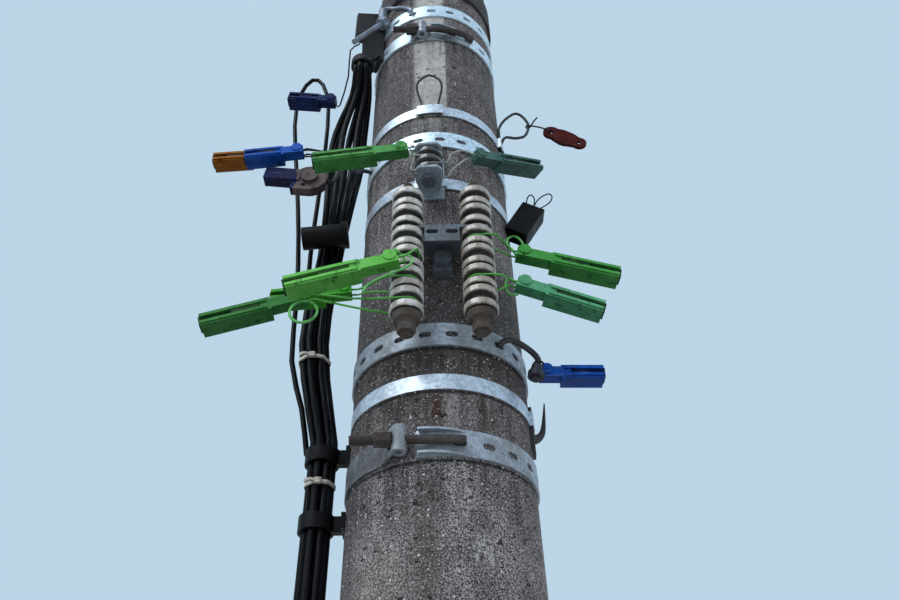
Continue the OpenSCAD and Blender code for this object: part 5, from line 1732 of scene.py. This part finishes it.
@dataclass
class DropClamps:
    """Every clamp that holds a drop wire: greens, blues, orange, the red plate and the drum.

    Attributes:
        edge: Rounding of the clamps' edges.
        wedge_edge: Rounding of the wedges' edges.
        ring_width: Width of the ring under the long left clamp, to the middle of its wire.
        ring_wire: Thickness of that wire.
        ring_centre: The ring's middle.
        ring_steps: Lengths into which its round is cut.
        end_wire: Thickness of the bails' free ends.
        blue_faded: Colour of faded blue plastic.
        blue_reach: Reach of a blue clamp's own colour round its middle.
        blues: The blue clamps.
        greens: The plastic of each green clamp.
        orange: The plastic of the orange clamp.
        red: The plastic of the flat red clamp.
        drum: The plastic of the drum clamp.
        wedges: The plastic of the wedges, darkened towards black as painted shade in the clamps' slots.
        bails: The coat of the wire bails.
        free_ends: The paths of three bails' free ends.
    """

    edge: float = 0.0007
    wedge_edge: float = 0.0003
    ring_width: float = 0.031
    ring_wire: float = 0.0032
    ring_centre: Point = (-0.152, -0.150, 4.228)
    ring_steps: int = 14
    end_wire: float = 0.0026
    blue_faded: Colour = (0.013, 0.10, 0.46)
    blue_reach: float = 0.062
    blues: tuple[BlueClamp, ...] = (
        BlueClamp((-0.19289, -0.08206, 4.5842), (-0.27739, -0.08206, 4.5729), 0.0838, (0.004, 0.055, 0.30)),
        BlueClamp((-0.16198, -0.0398, 4.76071), (-0.23828, -0.0398, 4.77081), 0.0773, (0.001, 0.010, 0.075)),
        BlueClamp((0.1198, -0.04181, 4.209), (0.1998, -0.04181, 4.207), 0.0773, (0.009, 0.07, 0.37)),
    )
    greens: tuple[Plastic, ...] = (
        Plastic("clamp_green_1", (0.045, 0.21, 0.045), (0.10, 0.34, 0.11)),
        Plastic("clamp_green_2", (0.034, 0.094, 0.085), (0.095, 0.19, 0.17)),
        Plastic("clamp_green_3", (0.09, 0.38, 0.055), (0.16, 0.50, 0.14)),
        Plastic("clamp_green_4", (0.020, 0.13, 0.026), (0.050, 0.21, 0.058)),
        Plastic("clamp_green_5", (0.03, 0.26, 0.015), (0.06, 0.32, 0.03)),
        Plastic("clamp_green_6", (0.030, 0.20, 0.034), (0.075, 0.31, 0.085)),
        Plastic("clamp_green_7", (0.05, 0.23, 0.115), (0.12, 0.38, 0.22)),
    )
    orange: Plastic = Plastic("orange_plastic", (0.20, 0.066, 0.003), (0.31, 0.12, 0.008))
    red: Plastic = Plastic("red_plastic", (0.034, 0.0012, 0.0008), (0.062, 0.0035, 0.002), dusty=0.03)
    drum: Plastic = Plastic("drum_brown", (0.060, 0.045, 0.050), (0.13, 0.105, 0.11), zones=(
        Zone((-0.238, -0.074, 4.535), 0.040, (0.001, 0.005, 0.045)),
    ))
    # The wedges' green, and each zone's own hue, are darkened towards black as painted shade in the clamps'
    # slots.
    wedges: Plastic = Plastic("wedge_green", (0.006, 0.03, 0.008), (0.015, 0.06, 0.018), zones=(
        Zone((-0.2545, -0.0853, 4.576), 0.027, (0.003, 0.008, 0.035)),
        Zone((-0.3059, -0.0673, 4.5907), 0.027, (0.035, 0.014, 0.006)),
        Zone((-0.2193, -0.0431, 4.7683), 0.030, (0.001, 0.006, 0.040)),
        Zone((0.1776, -0.0451, 4.2076), 0.030, (0.004, 0.012, 0.05)),
        Zone((0.1231, -0.0716, 4.5624), 0.055, (0.012, 0.022, 0.02)),
        Zone((-0.1355, -0.1733, 4.256), 0.045, (0.012, 0.05, 0.008)),
    ))
    bails: Plastic = Plastic("bail_green", (0.07, 0.34, 0.05), (0.16, 0.46, 0.14), dusty=0.1,
                             rough=0.3, zones=(
        Zone((-0.1885, -0.070, 4.580), 0.090, STEEL_BAIL, 0.6),
        Zone((-0.145, -0.060, 4.824), 0.095, STEEL_BAIL, 0.6),
        Zone((0.1194, -0.056, 4.209), 0.030, STEEL_BAIL, 0.6),
        Zone((0.1667, -0.022, 4.7156), 0.050, STEEL_BAIL, 0.6),
        Zone((0.010, -0.130, 4.510), 0.082, (0.28, 0.33, 0.31)),
    ))
    free_ends: tuple[tuple[Point, ...], ...] = (
        ((0.0985, -0.120, 4.3330), (0.0930, -0.124, 4.3427), (0.0868, -0.124, 4.3532),
         (0.0890, -0.125, 4.3619), (0.0975, -0.126, 4.3640), (0.1056, -0.125, 4.3544),
         (0.1095, -0.121, 4.3380)),
        ((0.0950, -0.120, 4.2860), (0.0877, -0.124, 4.2952), (0.0813, -0.124, 4.2899),
         (0.0805, -0.124, 4.2788), (0.0858, -0.124, 4.2702), (0.0945, -0.120, 4.2730)),
        ((-0.0520, -0.1720, 4.2856), (-0.0387, -0.176, 4.2881), (-0.0306, -0.176, 4.2848),
         (-0.0294, -0.176, 4.2769), (-0.0373, -0.176, 4.2679), (-0.0530, -0.176, 4.2600),
         (-0.0696, -0.176, 4.2505), (-0.0793, -0.176, 4.2422), (-0.0834, -0.176, 4.2335)),
    )

    def build(self, shop: Workshop) -> None:
        """Dress the clamps, then add the ribs, the ring and the free ends of three bails.

        Args:
            shop: The workshop.
        """
        for green in self.greens:
            dress(green.material(), green.name)
            shop.ease(self.edge, green.name)
        self._blues(shop)
        looks = {"clamp_orange": self.orange, "clamp_red": self.red, "drum_clamp": self.drum,
                 "clamp_wedges": self.wedges, "clamp_bails": self.bails}
        for node, plastic in looks.items():
            dress(plastic.material(), node)
        shop.ease(self.edge, "clamps_blue", "clamp_orange", "clamp_red", "drum_clamp")
        shop.ease(self.wedge_edge, "clamp_wedges")
        shop.smooth("clamp_bails")
        self._ring(shop)
        ends = [shop.wire("free_end", Paint.GREEN_WIRE, path, self.end_wire) for path in self.free_ends]
        show("free_ends", join("free_ends", ends))

    def _blues(self, shop: Workshop) -> None:
        """Dress the blue clamps, and rib the first and the low one.

        Args:
            shop: The workshop.
        """
        first, upper, low = self.blues
        zones = tuple(Zone(tuple(Vector(clamp.nose).lerp(Vector(clamp.tail), 0.5)), self.blue_reach,
                           clamp.colour) for clamp in (upper, low))
        blue = Plastic("blue_plastic", first.colour, self.blue_faded, zones=zones).material()
        dress(blue, "clamps_blue")
        ribs = [first.ribs(shop, blue, False), first.ribs(shop, blue, True), low.ribs(shop, blue, False, 6)]
        show("blue_ribs", join("blue_ribs", ribs))

    def _ring(self, shop: Workshop) -> None:
        """Hang the closed ring from the nose of the long left clamp.

        Args:
            shop: The workshop.
        """
        x, y, z = self.ring_centre
        half = self.ring_width / 2
        turns = [math.tau * i / self.ring_steps for i in range(self.ring_steps)]
        loop = [(x + half * math.cos(turn), y, z + half * math.sin(turn)) for turn in turns]
        ring = shop.wire("clamp_ring", Paint.GREEN_WIRE, loop, self.ring_wire, closed=True)
        show("clamp_ring", ring)


@dataclass
class Splices:
    """The splice box with its slack wires, and the dome closure.

    Attributes:
        edge: Rounding of the box's edges.
        slack_wire: Thickness of the slack wires.
        slack_step: Distance between the rings of points along them.
        slack: Their paths.
    """

    edge: float = 0.0012
    slack_wire: float = 0.0019
    slack_step: float = 0.002
    slack: tuple[tuple[Point, ...], ...] = (
        ((0.1365, -0.040, 4.500), (0.1463, -0.040, 4.5207), (0.1560, -0.040, 4.5311),
         (0.1653, -0.040, 4.5352), (0.1690, -0.040, 4.5287), (0.1650, -0.040, 4.5181),
         (0.1554, -0.040, 4.5090), (0.1400, -0.040, 4.4985)),
        ((0.1280, -0.048, 4.4960), (0.1305, -0.050, 4.5145), (0.1365, -0.050, 4.5228),
         (0.1410, -0.050, 4.5142), (0.1385, -0.046, 4.4980)),
    )

    def build(self, shop: Workshop) -> None:
        """Dress both, and bend the slack wires that stand out of the box's top.

        Args:
            shop: The workshop.
        """
        shop.paint(Paint.BLACK, "splice_box", "splice_dome")
        shop.ease(self.edge, "splice_box")
        loops = [shop.wire("slack", Paint.SHEATH, path, self.slack_wire, step=self.slack_step)
                 for path in self.slack]
        show("slack_wires", join("slack_wires", loops))


@dataclass
class Riser:
    """The riser cables with their stand-offs, ties and the guard at the foot.

    Attributes:
        edge: Rounding of the stand-offs' edges.
        tie_heights: Heights of the cable ties.
        tie_width: Width of a tie's band.
        tie_thick: Thickness of that band.
        tie_head: Sizes of a tie's head.
        head_offset: From the band's foremost point to the head's middle.
        tail_path: From that point along the cut tail.
        tail_share: Width of the tail as a share of the band's.
        half_bundle: From the bundle's side at the shaft to its middle.
        reach: Distance from the middle within which a cable belongs to the bundle.
        sheath_gap: How far the band's middle lies outside the cables.
    """

    edge: float = 0.0005
    tie_heights: tuple[float, ...] = (4.262, 4.088, 3.68, 2.88, 2.29)
    tie_width: float = 0.0052
    tie_thick: float = 0.0013
    tie_head: Point = (0.008, 0.005, 0.0075)
    head_offset: Point = (0.003, -0.0012, 0.0)
    tail_path: tuple[Point, ...] = (
        (-0.001, -0.002, 0.0), (-0.005, -0.0045, 0.0), (-0.009, -0.0055, -0.001), (-0.012, -0.0045, -0.003))
    tail_share: float = 0.9
    half_bundle: float = 0.019
    reach: float = 0.0228
    sheath_gap: float = 0.0008

    def build(self, shop: Workshop) -> None:
        """Dress the riser and draw a tie round it at each height.

        Args:
            shop: The workshop.
        """
        shop.paint(Paint.SHEATH, "riser_cables")
        shop.paint(Paint.BLACK, "stand_offs")
        shop.paint(Paint.DULL_ZINC, "cable_guard")
        shop.paint(Paint.STRAP, "guard_straps")
        shop.smooth("riser_cables")
        shop.ease(self.edge, "stand_offs")
        ties = [mesh for z in self.tie_heights for mesh in self._tie(shop, z)]
        show("riser_ties", join("riser_ties", ties))

    def _section(self, z: float) -> list[tuple[float, float]]:
        """Find where the cables of the bundle cross a height.

        Args:
            z: The height.

        Returns:
            Points on the cables' outsides.
        """
        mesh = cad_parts["riser_cables"].data
        found = []
        for edge in mesh.edges:
            a, b = (mesh.vertices[i].co for i in edge.vertices)
            if (a.z - z) * (b.z - z) < 0.0:
                p = a.lerp(b, (z - a.z) / (b.z - a.z))
                found.append((p.x, p.y))
        inner = max(found, key=lambda p: p[0])
        middle = (inner[0] - self.half_bundle, 0.0)
        return [p for p in found if math.dist(p, middle) < self.reach]

    def _tie(self, shop: Workshop, z: float) -> list[bpy.types.Mesh]:
        """A cable tie: its band, head and cut tail.

        Args:
            shop: The workshop.
            z: Its height.

        Returns:
            Its meshes.
        """
        loop = hull(self._section(z))
        cx, cy = (sum(p[axis] for p in loop) / len(loop) for axis in range(2))
        ring = []
        for x, y in loop:
            out = math.hypot(x - cx, y - cy)
            grow = (out + self.sheath_gap) / out
            ring.append((cx + (x - cx) * grow, cy + (y - cy) * grow, z))
        paint = shop.palette.get(Paint.TIE)
        band = shop.band.grow("tie", polyline(ring, closed=True), width=self.tie_width, thick=self.tie_thick,
                              material=paint)
        front = Vector(min(ring, key=lambda p: p[1]))
        head = block("tie_head", Matrix.Translation(front + Vector(self.head_offset)), self.tie_head, paint)
        tail = polyline([front + Vector(step) for step in self.tail_path])
        end = shop.band.grow("tie_tail", tail, width=self.tie_width * self.tail_share, thick=self.tie_thick,
                             material=paint)
        return [band, head, end]


def main() -> None:
    """Build the setting and every sub-assembly."""
    logging.basicConfig(level=logging.INFO, format="%(message)s")
    Studio().build()
    shop = Workshop()
    parts = (Shaft(), HeadFittings(), Straps(), FrontSpool(), Rack(), LowFittings(), DropClamps(),
             Splices(), Riser())
    for part in parts:
        part.build(shop)
        LOG.info("%s done", type(part).__name__)


if __name__ == "__main__":
    main()
